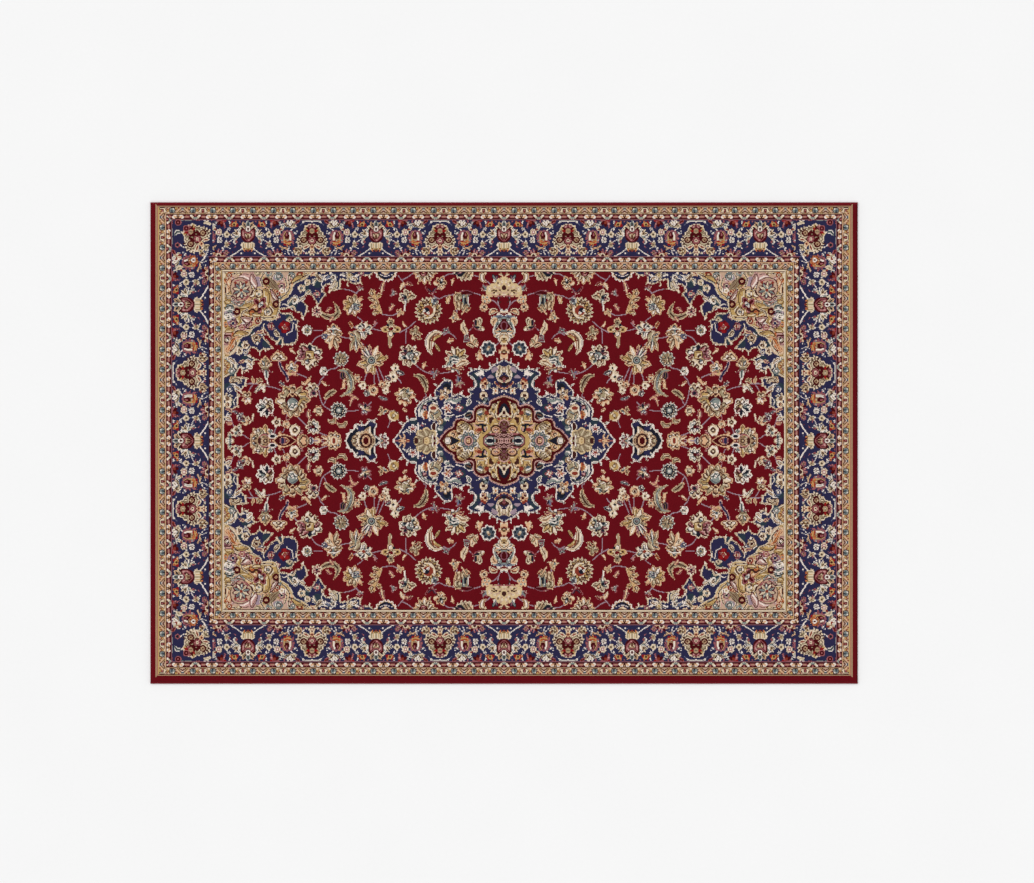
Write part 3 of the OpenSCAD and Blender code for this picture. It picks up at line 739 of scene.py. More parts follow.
CORNER_LINE = [(636, 561), (664, 536), (696, 520), (706, 498), (720, 476), (742, 462), (748, 432),
    (760, 404), (784, 400), (802, 402), (812, 386), (834, 372), (850, 352), (872, 342), (884, 322),
    (896, 300), (912, 282), (931, 276)]
BAND_LINE = [(436, 561), (446, 550), (474, 548), (478, 526), (498, 522), (520, 534), (544, 534), (546, 506),
    (576, 502), (574, 518), (592, 518), (606, 498), (592, 490), (604, 472), (618, 452), (626, 468),
    (640, 486), (660, 484), (668, 466), (656, 450), (656, 432), (668, 408), (674, 426), (690, 430),
    (700, 446), (722, 440), (746, 436), (736, 424), (706, 420), (698, 404), (686, 400), (690, 380),
    (686, 360), (690, 332), (704, 322), (732, 322), (734, 336), (744, 340), (752, 330), (772, 340),
    (790, 366), (800, 378), (800, 346), (788, 330), (770, 308), (800, 304), (812, 294), (822, 308),
    (842, 308), (852, 284), (826, 272), (836, 262), (840, 246), (866, 230), (870, 246), (886, 232),
    (890, 212), (858, 206), (862, 186), (876, 166), (892, 172), (884, 150), (888, 116), (906, 102),
    (912, 84), (931, 60)]


def band_flowers(w):
    """Flowers on the navy band round the corner, from the long side to the short one."""
    for x, y, r, n, petal, eye in ((728, 378, 21, 5, "red", "rust"), (772, 380, 13, 6, "mauve", "rust"),
            (752, 412, 9, 5, "mauve", "rose"), (822, 342, 17, 6, "tan", "brown"),
            (858, 318, 14, 6, "cream", "olive"), (878, 298, 14, 5, "cream", "tan"),
            (672, 506, 13, 5, "cream", "grey"), (694, 468, 15, 5, "white", "tan"),
            (652, 526, 12, 5, "cream", "olive"), (900, 200, 15, 6, "tan", "gold"),
            (918, 142, 16, 5, "cream", "tan"), (620, 488, 12, 5, "rose", "grey"),
            (910, 172, 11, 5, "blue", "white"), (568, 542, 14, 5, "white", "blue"),
            (514, 548, 12, 5, "olive", "gold"), (918, 120, 14, 5, "cream", "peach"),
            (904, 232, 12, 5, "grey", "white"), (636, 556, 11, 5, "peach", "rust"),
            (858, 292, 9, 5, "blue", "navy"), (474, 556, 10, 5, "mauve", "cream"),
            (712, 402, 10, 4, "olive", "brown")):
        flower(w, x, y, r, n, petal, eye, r * 0.34)
    dots(w, "scarlet", 7, (721, 388), (738, 386), (728, 364))
    dots(w, "rose", 4, (729, 381), (718, 374))
    dots(w, "white", 6, (818, 326), (914, 150))
    lines(w, "white", 3.4, [(806, 354), (822, 362), (838, 350)], [(700, 392), (704, 366), (722, 354)],
        [(756, 366), (762, 352)])
    blades(w, 13, "olive", "cream", [(746, 346), (754, 354), (762, 368)],
        [(556, 528), (562, 512), (566, 498)], [(874, 190), (882, 202), (898, 208)],
        [(600, 528), (616, 540), (628, 556)])
    blades(w, 11, "cream", "grey", [(618, 540), (630, 530), (632, 514)],
        [(898, 262), (914, 270), (930, 288)], [(700, 478), (712, 462), (720, 450)],
        [(640, 500), (652, 494), (660, 486)], [(888, 236), (892, 250), (888, 262)])
    blades(w, 9, "blue", None, [(572, 554), (588, 540), (606, 536)], [(524, 546), (534, 552), (546, 548)],
        [(884, 182), (896, 190), (912, 188)], [(896, 98), (912, 92), (924, 76)],
        [(790, 352), (812, 354), (820, 366)])
    blades(w, 12, "cream", "white", [(838, 256), (848, 264), (862, 264)],
        [(890, 250), (904, 268), (928, 278)], [(836, 240), (846, 246), (852, 258)],
        [(876, 168), (886, 176), (898, 180)], [(906, 66), (918, 76), (930, 78)],
        [(560, 536), (566, 520), (580, 508)], [(486, 534), (500, 540), (512, 534)],
        [(660, 480), (672, 470), (684, 462)])
    blades(w, 9, "mauve", "peach", [(862, 270), (870, 262), (882, 258)], [(904, 92), (912, 104), (928, 106)],
        [(660, 548), (652, 556), (644, 552)], [(800, 366), (812, 360), (826, 362)])
    lines(w, "white", 2.6, [(700, 432), (722, 452), (738, 452)], [(594, 548), (606, 522), (600, 506)],
        [(886, 146), (898, 132), (894, 118)], [(850, 246), (866, 240), (878, 246)])


def frame_flowers(w):
    """Half flowers that hang from the frame between the two corners."""
    for x, r, outer in ((392, 40, "peach"), (600, 30, "cream"), (500, 24, "cream")):
        petals(w, x, 566, tuple((a, r, 14, outer if k % 2 else "tan")
            for k, a in enumerate(range(-172, 0, 23))), "white")
        w.disc(x, 564, r * 0.72, "night")
        w.disc(x - 2, 566, r * 0.62, "navy")
        w.disc(x, 567, r * 0.42, "tan")
        lines(w, "white", 2.6, [(x - r * 0.5, 552), (x, 546), (x + r * 0.5, 552)])
    blades(w, 12, "peach", "rose", [(398, 532), (404, 512), (408, 486)])
    rings(w, 936, 244, (37, "brown"), (34, "cream"), (29, "brown"), (27, "gold"), (15, "brown"),
        (13, "pink"))
    for angle in (110, 135, 160, 185, 210, 235):
        lines(w, "rust", 3, [turned(936, 244, angle, 16), turned(936, 244, angle, 24)])
    dots(w, "tan", 6, (929, 246))


def corners(w):
    """The navy band round the corner, the half flowers on the frame, and the gold corner piece."""
    edge = [(931, 561)]
    w.polygon(BAND_LINE + edge, "navy")
    dots(w, "teal", 13, (620, 520), (660, 510), (712, 412), (742, 330), (840, 356), (880, 318), (900, 220),
        (916, 180), (906, 130), (560, 520), (700, 450), (790, 322), (860, 270))
    w.stroke(BAND_LINE, 5.5, "cream")
    spurs(w, "cream", 13, 8, (448, 548, 240), (478, 526, 200), (520, 522, 250), (548, 508, 200),
        (576, 500, 300), (604, 500, 220), (594, 488, 180), (618, 450, 270), (656, 432, 180), (668, 408, 250),
        (690, 380, 180), (704, 322, 230), (734, 322, 300), (752, 328, 300), (770, 308, 180), (812, 292, 270),
        (826, 270, 180), (836, 258, 200), (852, 236, 240), (868, 230, 280), (856, 206, 180), (860, 186, 200),
        (874, 164, 230), (880, 150, 190), (886, 116, 200), (904, 102, 250), (846, 284, 200), (792, 304, 260),
        (800, 380, 120))
    frame_flowers(w)
    band_flowers(w)
    w.polygon(CORNER_LINE + edge, "gold")
    corner_washes(w)
    corner_stems(w)
    corner_flowers(w)
    corner_shapes(w)
    corner_palmettes(w)
    w.stroke(CORNER_LINE, 4, "cream")


def corner_washes(w):
    """Paler and rosier patches of the corner's gold ground."""
    dots(w, "sand", 26, (850, 540), (900, 530), (880, 500), (900, 430), (890, 360), (912, 310), (770, 540),
        (720, 540))
    dots(w, "sand", 15, (820, 400), (760, 470), (690, 545), (800, 500))
    dots(w, "pink", 22, (830, 540), (860, 536), (876, 504), (890, 470))
    dots(w, "pink", 14, (862, 380), (744, 540), (900, 530), (712, 540), (918, 352))
    dots(w, "orange", 9, (704, 524), (728, 500), (908, 556), (926, 530), (896, 352), (906, 312), (836, 426),
        (812, 420))
    dots(w, "lilac", 17, (904, 396), (912, 424), (918, 336), (818, 528), (752, 548), (872, 482))
    dots(w, "peach", 14, (716, 520), (752, 486), (840, 400), (880, 352), (914, 300), (796, 500), (690, 540),
        (848, 472), (806, 556), (924, 500))
    dots(w, "cream", 9, (784, 428), (816, 487), (900, 452), (850, 520), (912, 470), (770, 500), (836, 486),
        (726, 500))


def corner_stems(w):
    """Scrolls and leaves on the gold ground of the corner."""
    for path in ([(650, 552), (690, 536), (716, 548), (712, 510), (728, 484), (748, 470), (746, 452)],
            [(728, 540), (722, 516), (740, 500), (758, 508), (772, 540), (762, 556)],
            [(766, 410), (800, 408), (832, 414), (836, 400), (866, 396), (870, 424), (852, 436)],
            [(850, 360), (884, 366), (896, 350), (890, 320), (912, 290)],
            [(826, 380), (848, 372), (880, 380), (896, 372)], [(800, 512), (808, 536), (796, 556)],
            [(898, 480), (922, 484), (924, 512), (910, 548), (892, 556)],
            [(836, 464), (860, 454), (884, 456), (912, 456)],
            [(800, 486), (806, 500), (828, 504), (838, 484)]):
        w.stroke(path, 7, "cream")
        w.stroke(path, 3.4, "brown")
    blades(w, 20, "olive", "brown", [(744, 498), (766, 516), (786, 546)])
    blades(w, 15, "gold", "brown", [(836, 456), (856, 448), (882, 440)],
        [(800, 420), (824, 418), (842, 424)], [(880, 412), (884, 400), (876, 390)],
        [(896, 372), (910, 366), (926, 362)], [(906, 468), (918, 462), (930, 470)])
    blades(w, 13, "peach", "rust", [(836, 408), (852, 404), (868, 418)],
        [(748, 482), (760, 496), (772, 500)], [(888, 350), (900, 340), (904, 326)],
        [(904, 316), (914, 304), (926, 296)], [(816, 462), (826, 446), (846, 436)],
        [(906, 540), (914, 526), (910, 508)])
    blades(w, 10, "grey", "brown", [(738, 470), (746, 478), (744, 488)],
        [(694, 552), (708, 556), (718, 552)], [(676, 536), (690, 530), (700, 520)])


def corner_flowers(w):
    """Small flowers on the corner's gold ground."""
    for x, y, r, n, petal, eye in ((748, 546, 15, 6, "grey", "white"), (738, 514, 12, 5, "mauve", "night"),
            (738, 498, 9, 5, "white", "tan"), (752, 488, 10, 5, "rust", "dark"),
            (784, 428, 14, 6, "cream", "grey"), (814, 487, 10, 5, "cream", "grey"),
            (816, 398, 12, 6, "rust", "dark"), (866, 383, 11, 5, "white", "brown"),
            (846, 388, 11, 5, "rose", "brown"), (900, 390, 15, 6, "mauve", "navy"),
            (916, 412, 14, 8, "white", "night"), (912, 440, 14, 6, "grey", "white"),
            (918, 335, 19, 6, "mauve", "blue"), (870, 376, 11, 5, "rose", "rust"),
            (854, 384, 10, 5, "mauve", "dark"), (924, 386, 8, 5, "orange", "dark"),
            (912, 550, 9, 5, "rust", "dark"), (782, 558, 13, 5, "grey", "mauve"),
            (818, 556, 11, 5, "olive", "cream"), (678, 552, 11, 5, "rust", "peach"),
            (700, 548, 8, 5, "grey", "white"), (760, 470, 9, 5, "tan", "rust"),
            (898, 516, 11, 5, "peach", "rose"), (842, 512, 9, 5, "white", "dark")):
        flower(w, x, y, r, n, petal, eye, r * 0.36)
    for x, y in ((790, 529), (757, 453), (887, 429)):
        rings(w, x, y, (13, "brown"), (10.5, "dark"), (4.5, "peach"))
    for k in range(5):
        lines(w, ("night", "white")[k % 2], 3.4, [(896, 400 + 11 * k), (910, 404 + 11 * k),
            (928, 398 + 11 * k)])


def outlined(w, colour, line, *shapes):
    """Rounded shapes, each a closed curve through its points, with a thin line round them."""
    for points in shapes:
        points = points + points[:1]
        w.polygon([tuple(point) for point in curve(points)], colour)
        w.stroke(points, 2.8, line)


def corner_shapes(w):
    """The large plain shapes on the corner's gold ground: a finger, a flame, a leaf and wings."""
    outlined(w, "gold", "brown", [(787, 436), (778, 470), (785, 502), (802, 500), (798, 468)],
        [(840, 354), (876, 367), (900, 348), (868, 345)], [(662, 546), (708, 522), (688, 548)])
    outlined(w, "pink", "brown", [(748, 462), (758, 484), (776, 503), (768, 474)],
        [(822, 500), (820, 524), (836, 554), (844, 530)], [(834, 408), (856, 412), (874, 410), (852, 390)])
    outlined(w, "pink", "grey", [(860, 460), (884, 462), (905, 464), (880, 447)])
    outlined(w, "orange", "peach", [(884, 348), (898, 326), (920, 290), (908, 334)])


def corner_palmettes(w):
    """The framed palmette near the frame's corner, and the dark flower beside the gold finger."""
    outlined(w, "sand", "brown", [(844, 530), (838, 492), (872, 461), (906, 492), (902, 532), (872, 541)])
    w.disc(873, 500, 25, "mauve")
    whorl(w, 873, 500, 10, -60, 30, 10, ("cream", "grey"), "dark", 0.3)
    dots(w, "rust", 5, (873, 500), (856, 526), (892, 524))
    lines(w, "rose", 4, [(850, 480), (862, 470), (884, 468)], [(852, 530), (872, 534), (894, 530)])
    petals(w, 809, 450, ((118, 27, 14, "dark"), (42, 29, 12, "dark"), (195, 18, 12, "dark"),
        (-80, 24, 13, "dark")), "rose")
    lines(w, "brown", 6, [(812, 434), (824, 429), (834, 437), (847, 430)])
    dots(w, "grey", 7, (808, 452))
    dots(w, "white", 3.4, (804, 458), (812, 446))


MEDALLION = [(0, 268), (28, 254), (42, 244), (56, 234), (84, 238), (104, 234), (119, 222), (104, 208),
    (94, 192), (98, 176), (118, 168), (108, 156), (118, 145), (134, 148), (146, 156), (170, 148), (174, 166),
    (172, 196), (196, 200), (212, 184), (228, 164), (226, 142), (244, 144), (268, 134), (286, 116),
    (294, 98), (290, 74), (312, 70), (330, 54), (344, 30), (368, 0)]
CORE = [(0, 150), (24, 142), (44, 132), (52, 116), (74, 120), (92, 114), (102, 98), (102, 74), (118, 66),
    (140, 74), (162, 68), (170, 46), (186, 38), (204, 20), (218, 0)]


def medallion_line(w):
    """The light outline of the medallion with its spurs."""
    w.stroke(MEDALLION, 6, "white")
    spurs(w, "white", 15, 9, (22, 262, 80), (44, 250, 60), (80, 238, 85), (106, 236, 30), (112, 172, 190),
        (140, 156, 110), (194, 202, 50), (222, 182, 40), (222, 144, 60), (246, 142, 100), (286, 130, 45),
        (318, 72, 60), (338, 56, 30))
    spurs(w, "rose", 8, 4, (22, 264, 80), (82, 240, 85), (110, 172, 190), (196, 204, 50), (318, 74, 60))


def medallion_flowers(w):
    """What stands on the medallion's navy ground, from its upper tip to its right end."""
    w.polygon([(-3, 222), (6, 214), (20, 210), (20, 190), (8, 182), (-3, 182)], "brown")
    w.polygon([(-3, 250), (6, 246), (6, 228), (-3, 224)], "tan")
    blades(w, 17, "cream", None, [(14, 252), (16, 236), (15, 212)])
    lines(w, "olive", 3, [(12, 246), (14, 232), (16, 220)])
    lines(w, "cream", 7, [(24, 222), (22, 208), (14, 199), (6, 196)])
    lines(w, "peach", 7, [(30, 194), (22, 186), (14, 180)], [(0, 174), (10, 176), (16, 180)])
    dots(w, "rose", 3, (2, 206), (0, 198))
    dots(w, "night", 6, (2, 188))
    lines(w, "grey", 6, [(0, 166), (8, 164)])
    blades(w, 13, "lilac", None, [(20, 240), (30, 238), (40, 226)])
    blades(w, 9, "lilac", None, [(34, 210), (44, 213), (55, 209)])
    blades(w, 12, "white", None, [(66, 216), (74, 228), (80, 214)], [(72, 226), (84, 222), (96, 224)])
    lines(w, "lilac", 4, [(82, 216), (76, 208), (72, 200)])
    w.disc(66, 188, 13, "peach", 1.7)
    dots(w, "rust", 5, (64, 205), (72, 200))
    w.disc(62, 190, 4.5, "dark", 1.3)
    w.disc(69, 180, 5, "mauve", 0.9)
    lines(w, "white", 4, [(52, 182), (58, 172), (68, 167), (76, 174), (78, 186)])
    blades(w, 12, "grey", None, [(42, 190), (50, 184), (58, 170)])
    lines(w, "blue", 3.4, [(52, 146), (54, 128), (70, 120), (92, 132)])
    flower(w, 28, 166, 13, 4, "cream", "orange", 3, 45)
    rings(w, 68, 150, (15, "brown"), (13, "cream"), (6, "brown"))
    dots(w, "night", 10, (62, 134))
    dots(w, "grey", 5, (60, 138), (66, 128))
    blades(w, 12, "grey", "white", [(116, 140), (116, 128), (124, 116)])
    blades(w, 14, "grey", None, [(134, 146), (148, 138), (164, 130), (182, 136), (204, 122)])
    petals(w, 150, 109, ((80, 13, 9, "white"), (170, 13, 9, "white"), (260, 13, 9, "white"),
        (350, 13, 9, "cream")), "rose")
    dots(w, "orange", 3, (150, 109))
    petals(w, 188, 106, ((110, 20, 10, "rose"), (60, 15, 9, "orange"), (10, 18, 9, "rose"),
        (-70, 18, 10, "dark"), (-130, 18, 9, "rust"), (165, 19, 8, "rose")), "white")
    dots(w, "peach", 4, (188, 106))
    lines(w, "white", 3.4, [(164, 86), (180, 84), (198, 86)], [(102, 96), (116, 100), (130, 88), (158, 80)],
        [(104, 82), (114, 72), (134, 76)])
    blades(w, 18, "night", "grey", [(106, 88), (118, 86), (130, 80)])
    blades(w, 13, "grey", None, [(180, 78), (190, 72), (200, 70)], [(200, 44), (212, 40), (222, 42)])
    dots(w, "night", 12, (190, 178))
    petals(w, 196, 157, ((95, 20, 10, "white"), (30, 20, 11, "cream"), (-35, 17, 11, "cream"),
        (-110, 17, 12, "cream"), (155, 18, 12, "cream")), "tan")
    dots(w, "grey", 6, (196, 158))
    blades(w, 10, "orange", "peach", [(200, 146), (208, 142), (212, 136)])
    shoulder_palmette(w)
    end_rosette(w)


def shoulder_palmette(w):
    """The round palmette in the medallion's outer lobe."""
    lines(w, "grey", 10, [(222, 126), (246, 132), (268, 122), (280, 104), (280, 84)])
    lines(w, "night", 4, [(226, 130), (250, 128), (270, 114), (276, 90)])
    lines(w, "white", 3.4, [(226, 122), (236, 128)], [(258, 126), (266, 118)], [(274, 100), (276, 84)])
    w.disc(230, 90, 24, "white")
    w.disc(228, 88, 21, "olive", 0.95)
    w.disc(234, 109, 17, "cream", 0.8)
    w.disc(235, 108, 11, "rust", 0.6)
    lines(w, "grey", 4, [(220, 96), (232, 90)], [(240, 84), (236, 72)])
    blades(w, 13, "cream", "tan", [(222, 74), (210, 64), (216, 54)])
    blades(w, 16, "orange", "cream", [(258, 100), (262, 86), (256, 72)])
    dots(w, "rust", 5, (254, 92), (262, 78))
    dots(w, "mauve", 8, (262, 112))
    lines(w, "white", 3.4, [(246, 104), (252, 84), (246, 66)], [(268, 104), (274, 88), (264, 70)])
    blades(w, 14, "brown", "white", [(228, 62), (234, 46), (230, 30)])
    lines(w, "white", 3.4, [(262, 54), (272, 58)], [(276, 46), (284, 58)])
    lines(w, "blue", 6, [(284, 58), (284, 40), (288, 26)])
    lines(w, "mauve", 5, [(266, 50), (276, 52)])


def end_rosette(w):
    """The rosette at the core's end and the sprays between it and the medallion's tip."""
    whorl(w, 258, 3, 8, 0, 38, 25, ("olive",), "straw", 0.6)
    for angle in range(22, 180, 45):
        lines(w, "umber", 2.6, [turned(258, 3, angle, 14), turned(258, 3, angle, 33)])
    dots(w, "umber", 12, (258, 3))
    dots(w, "straw", 9, (257, 3))
    dots(w, "gold", 4, (258, 3))
    dots(w, "brown", 7, (292, 4))
    lines(w, "white", 3.4, [(222, 24), (226, 10), (222, 0)], [(238, 18), (236, 0)],
        [(220, 60), (226, 44), (224, 28)])
    dots(w, "dark", 5, (231, 8))
    petals(w, 303, 41, tuple((a, 14, 8, "rust" if a % 2 else "rose") for a in (15, 88, 160, 231, 303)),
        "white")
    lines(w, "grey", 6, [(312, 24), (322, 34), (334, 26)])
    lines(w, "peach", 5, [(312, 1), (322, 3), (329, 10), (332, 20)], [(333, 7), (341, 9), (346, 17)],
        [(322, 1), (350, 2)])
    lines(w, "rose", 3.4, [(350, 0), (362, 2)])


def medallion(w):
    """The navy medallion with its light outline and its gold core."""
    w.polygon(MEDALLION + [(0, 0)], "navy")
    dots(w, "teal", 13, (30, 222), (66, 140), (96, 216), (140, 110), (190, 180), (206, 60), (216, 34),
        (90, 190), (300, 64))
    medallion_line(w)
    medallion_flowers(w)
    w.polygon(CORE + [(0, 0)], "gold")
    core_lobes(w)
    core_sides(w)
    core_middle(w)
    core_edge(w)


def core_edge(w):
    """A dark red band just inside the core's edge, and the light line along it."""
    inset = [(x * 0.96, y * 0.94) for x, y in CORE]
    w.stroke(inset, 10, "dark")
    for notch in ([(44, 118), (52, 94), (66, 110)], [(100, 100), (94, 60), (118, 66)],
            [(160, 50), (158, 34), (178, 38)]):
        w.polygon(notch, "dark")
    w.stroke(CORE, 4.4, "pink")


def core_lobes(w):
    """The gold lobes of the core and the dark field with a white lily in the upper one."""
    dots(w, "tan", 9, (104, 60), (120, 60), (156, 42), (8, 141), (150, 34), (60, 110))
    w.polygon([(-3, 138), (10, 135), (18, 124), (23, 104), (24, 88), (16, 80), (-3, 84)], "dark")
    w.polygon([(-3, 126), (8, 122), (17, 106), (18, 92), (-3, 96)], "night")
    w.polygon([(-3, 116), (2, 112), (6, 100), (13, 90), (22, 82), (18, 76), (9, 84), (3, 76), (-3, 84)],
        "cream")
    dots(w, "brown", 4, (0, 95), (2, 92))
    lines(w, "cream", 3.4, [(12, 136), (24, 122), (26, 100), (27, 84), (18, 72)],
        [(46, 108), (48, 96), (40, 82)])
    blades(w, 12, "olive", "cream", [(24, 126), (32, 118), (38, 102)])
    dots(w, "brown", 4, (25, 124), (46, 87), (37, 104))
    dots(w, "rust", 8, (57, 92))
    dots(w, "brown", 3, (52, 98), (60, 86), (56, 80))
    w.polygon([(33, 74), (40, 80), (51, 76), (51, 62), (43, 54), (39, 66)], "brown")
    dots(w, "rust", 5, (18, 73))
    lines(w, "peach", 5, [(40, 84), (52, 80), (58, 70)],
        [(64, 106), (72, 112), (88, 112), (95, 100), (94, 80), (93, 64)],
        [(60, 62), (80, 60), (98, 62), (98, 50)])
    lines(w, "cream", 5, [(61, 76), (58, 66), (62, 60)])
    w.disc(79, 96, 13, "olive")
    w.disc(80, 91, 9, "slate")
    lines(w, "white", 5.4, [(74, 97), (80, 95), (87, 92)])
    dots(w, "umber", 4, (77, 80), (69, 104))


def core_sides(w):
    """What stands between the core's middle and its right end."""
    lines(w, "night", 7.5, [(61, 52), (78, 53), (92, 51)], [(71, 52), (71, 42), (66, 31)])
    lines(w, "pink", 4.4, [(62, 43), (62, 35)], [(79, 44), (88, 46), (98, 52)])
    dots(w, "peach", 9, (92, 37), (88, 30))
    dots(w, "orange", 5, (94, 34))
    blades(w, 11, "rust", None, [(74, 38), (82, 36), (90, 35)])
    lines(w, "cream", 4, [(43, 46), (42, 34), (46, 22)])
    lines(w, "brown", 5, [(104, 28), (105, 42), (110, 52), (122, 57)])
    w.disc(130, 46, 14, "olive")
    lines(w, "cream", 6, [(113, 36), (120, 34), (116, 44)], [(130, 50), (136, 42), (146, 48)])
    lines(w, "umber", 4, [(143, 38), (135, 34), (130, 28)])
    dots(w, "brown", 3, (150, 47))
    dots(w, "peach", 12, (168, 22))
    dots(w, "gold", 6, (168, 22))
    w.disc(150, 24, 8, "brown", 0.45)
    w.polygon([(145, 0), (160, 8), (174, 15), (184, 15), (182, -5)], "night")
    w.disc(190, 2, 15, "umber")
    w.disc(187, 2, 9, "white")
    lines(w, "tan", 6, [(190, 20), (201, 12), (204, 0)])
    w.disc(118, 2, 27, "umber")
    whorl(w, 118, 2, 8, 22, 35, 15, ("grey",), "white")
    whorl(w, 118, 2, 8, 0, 26, 10, ("olive",), "slate")
    rings(w, 118, 2, (18, "slate"), (14.5, "pink"), (10.5, "dark"), (6.5, "peach"))


def core_middle(w):
    """The mauve cluster in the very middle: long lobes, small ovals and a ringed eye on each side."""
    w.disc(0, 50, 18, "pink", 1.2)
    w.disc(0, 49, 15, "dark", 1.25)
    dots(w, "umber", 4, (3, 62), (9, 53), (3, 46), (9, 39))
    dots(w, "mauve", 3, (0, 54), (6, 46), (2, 36))
    lines(w, "brown", 4, [(9, 34), (16, 30)], [(0, 28), (6, 32)])
    w.disc(27, 39, 18, "brown", 0.8)
    w.disc(27, 37, 14, "peach", 0.7)
    w.disc(28, 36, 8, "pink", 0.6)
    w.disc(46, 2, 25, "brown", 0.95)
    w.polygon([(20, 24), (36, 28), (52, 22), (66, 10), (66, -4), (20, -4)], "brown")
    lines(w, "rose", 4, [(20, 28), (34, 22), (50, 24)], [(58, 16), (66, 8), (66, 0)])
    w.disc(46, 2, 19, "grey", 0.65)
    w.disc(46, 3, 13, "night", 0.5)
    lines(w, "white", 4, [(39, 8), (46, 9), (56, 8)])
    w.disc(0, 14, 21, "brown", 0.8)
    for x, y, r in ((0, 18, 5), (13, 20, 4.4), (20, 10, 4.4), (8, 7, 3.4), (26, 22, 4.4), (30, 8, 3.4),
            (0, 3, 5), (14, 2, 4.4)):
        rings(w, x, y, (r + 0.6, "pink"), (r - 2, "dark"))


PENDANT = [(405, 0), (416, 10), (428, 14), (430, 34), (424, 52), (434, 66), (448, 66), (458, 54), (470, 52),
    (492, 54), (498, 40), (512, 28), (520, 14), (527, 0)]


def pendant(w):
    """The small navy shape beyond the medallion's end."""
    w.polygon(PENDANT + [(466, -2)], "night")
    dots(w, "navy", 11, (438, 55), (476, 40))
    w.polygon([(426, -2), (432, 10), (440, 24), (446, 46), (456, 42), (468, 30), (486, 26), (502, 14),
        (508, -2)], "tan")
    lines(w, "cream", 7, [(431, 6), (440, 20)], [(446, 26), (445, 44)], [(468, 30), (478, 27), (488, 24)])
    dots(w, "cream", 7, (480, 15), (488, 4))
    dots(w, "olive", 8, (498, 3))
    dots(w, "peach", 4, (458, 28))
    w.stroke(PENDANT, 5.5, "white")
    lines(w, "white", 6, [(404, 1), (416, 6), (426, 18)])
    spurs(w, "white", 16, 8, (470, 54, 50), (486, 44, 20), (504, 30, 30), (516, 20, 20), (432, 64, 130),
        (446, 64, 60))
    rings(w, 459, 3, (21, "brown"), (14.5, "peach"), (9, "dark"))
    dots(w, "night", 4, (474, 7))


def mirrored(points, x=0.0, y=0.0):
    """A closed outline from its right half, with its axis at x and its foot at y."""
    return [(x + u, y + v) for u, v in points] + [(x - u, y + v) for u, v in reversed(points)]


def vase_palmette(w, x, y):
    """Heart-shaped palmette with a grey crown, seen from the side, standing on x, y."""
    fan(w, x, y + 84, 90, 200, 7, 33, 15, ["grey", "cream", "tan"], "night", droop=0.1)
    w.polygon(mirrored([(0, 40), (12, 46), (22, 58), (26, 74), (24, 88), (16, 92), (6, 86), (0, 82)], x, y),
        "dark")
    w.polygon(mirrored([(0, 46), (9, 52), (18, 62), (21, 74), (19, 84), (14, 86), (6, 80), (0, 76)], x, y),
        "rose")
    w.polygon(mirrored([(0, 54), (7, 60), (12, 70), (8, 76), (0, 72)], x, y), "tan")
    w.stroke([(x, y + 56), (x, y + 68)], 3, "dark")
    w.disc(x, y + 88, 10, "dark", 1.2)
    rings(w, x, y + 89, (7.5, "white", 1.2), (4, "dark", 1.3))
    fan(w, x, y + 40, -90, 160, 5, 27, 14, ["tan", "cream", "gold"], "brown", droop=0.1)
    w.polygon(mirrored([(0, 24), (20, 26), (23, 34), (20, 43), (0, 42)], x, y), "cream")
    for side in (-1, 1):
        w.stroke([(x + side * 8, y + 25), (x + side * 8, y + 41)], 2.6, "gold")
        w.stroke([(x + side * 15, y + 27), (x + side * 15, y + 40)], 2.6, "olive")
    w.stroke([(x, y + 25), (x, y + 41)], 3, "olive")
    for k in range(-2, 3):
        drop(w, x + 6 * k, y + 24, -90, 13 - abs(k), 5, ("rust", "dark", "orange")[abs(k)])


LOBED = [(0, 108), (10, 108), (17, 102), (18, 94), (27, 92), (28, 84), (36, 80), (36, 72), (45, 68),
    (42, 62), (52, 58), (47, 52), (54, 46), (46, 42), (48, 34), (38, 35), (35, 27), (26, 32), (16, 36),
    (0, 34)]


def lobed_palmette(w, x, y, angle):
    """Large cream-edged palmette with a red crown. x, y is 60 mm above its foot; it points along angle."""
    def at(forward, side=0.0):
        return turned(x, y, angle, forward - 60, side)

    def outline(scale, colour):
        w.polygon([at(66 + (v - 66) * scale, u * scale) for u, v in mirrored(LOBED)], colour)
    outline(1.0, "cream")
    outline(0.88, "brown")
    outline(0.82, "olive")
    for side in (-1, 1):
        drop(w, *at(80, side * 10), angle + side * 30, 26, 13, "cream")
        drop(w, *at(82, side * 14), angle + side * 28, 18, 8, "gold")
        rings(w, *at(54, side * 27), (14, "cream"), (12, "dark"))
        w.disc(*at(55, side * 27), 7, "tan")
        w.disc(*at(54, side * 28), 3, "dark")
        for k in range(4):
            drop(w, *at(44 + 7 * k, side * (34 + 2 * (k % 2))), angle + side * (110 - 18 * k), 14, 4,
                "brown")
        drop(w, *at(48, side * 11), angle + side * 12, 30, 10, "dark")
    w.disc(*at(80), 14, "dark")
    w.disc(*at(52), 15, "dark")
    fan(w, *at(86), angle, 190, 7, 22, 9, ["rose", "scarlet", "dark"], None, droop=0.05)
    fan(w, *at(88), angle, 170, 5, 12, 6, ["dark"], None, droop=0.05)
    rings(w, *at(84), (8, "tan"), (4.5, "olive"))
    rosette(w, *at(52), 12, 6, "rose", gap="dark", ring="cream", eye="dark")
    for side in (-1, 1):
        drop(w, *at(38, side * 4), angle + 180 - side * 62, 30, 10, "cream")
        drop(w, *at(37, side * 8), angle + 180 - side * 62, 22, 5, "rust")
    rosette(w, *at(31), 9, 6, "peach", gap="brown", ring="rust", eye="dark", turn=30)
    rosette(w, *at(14), 12, 6, "cream", gap="brown", ring="rust", eye="cream", turn=0, split=0.4)


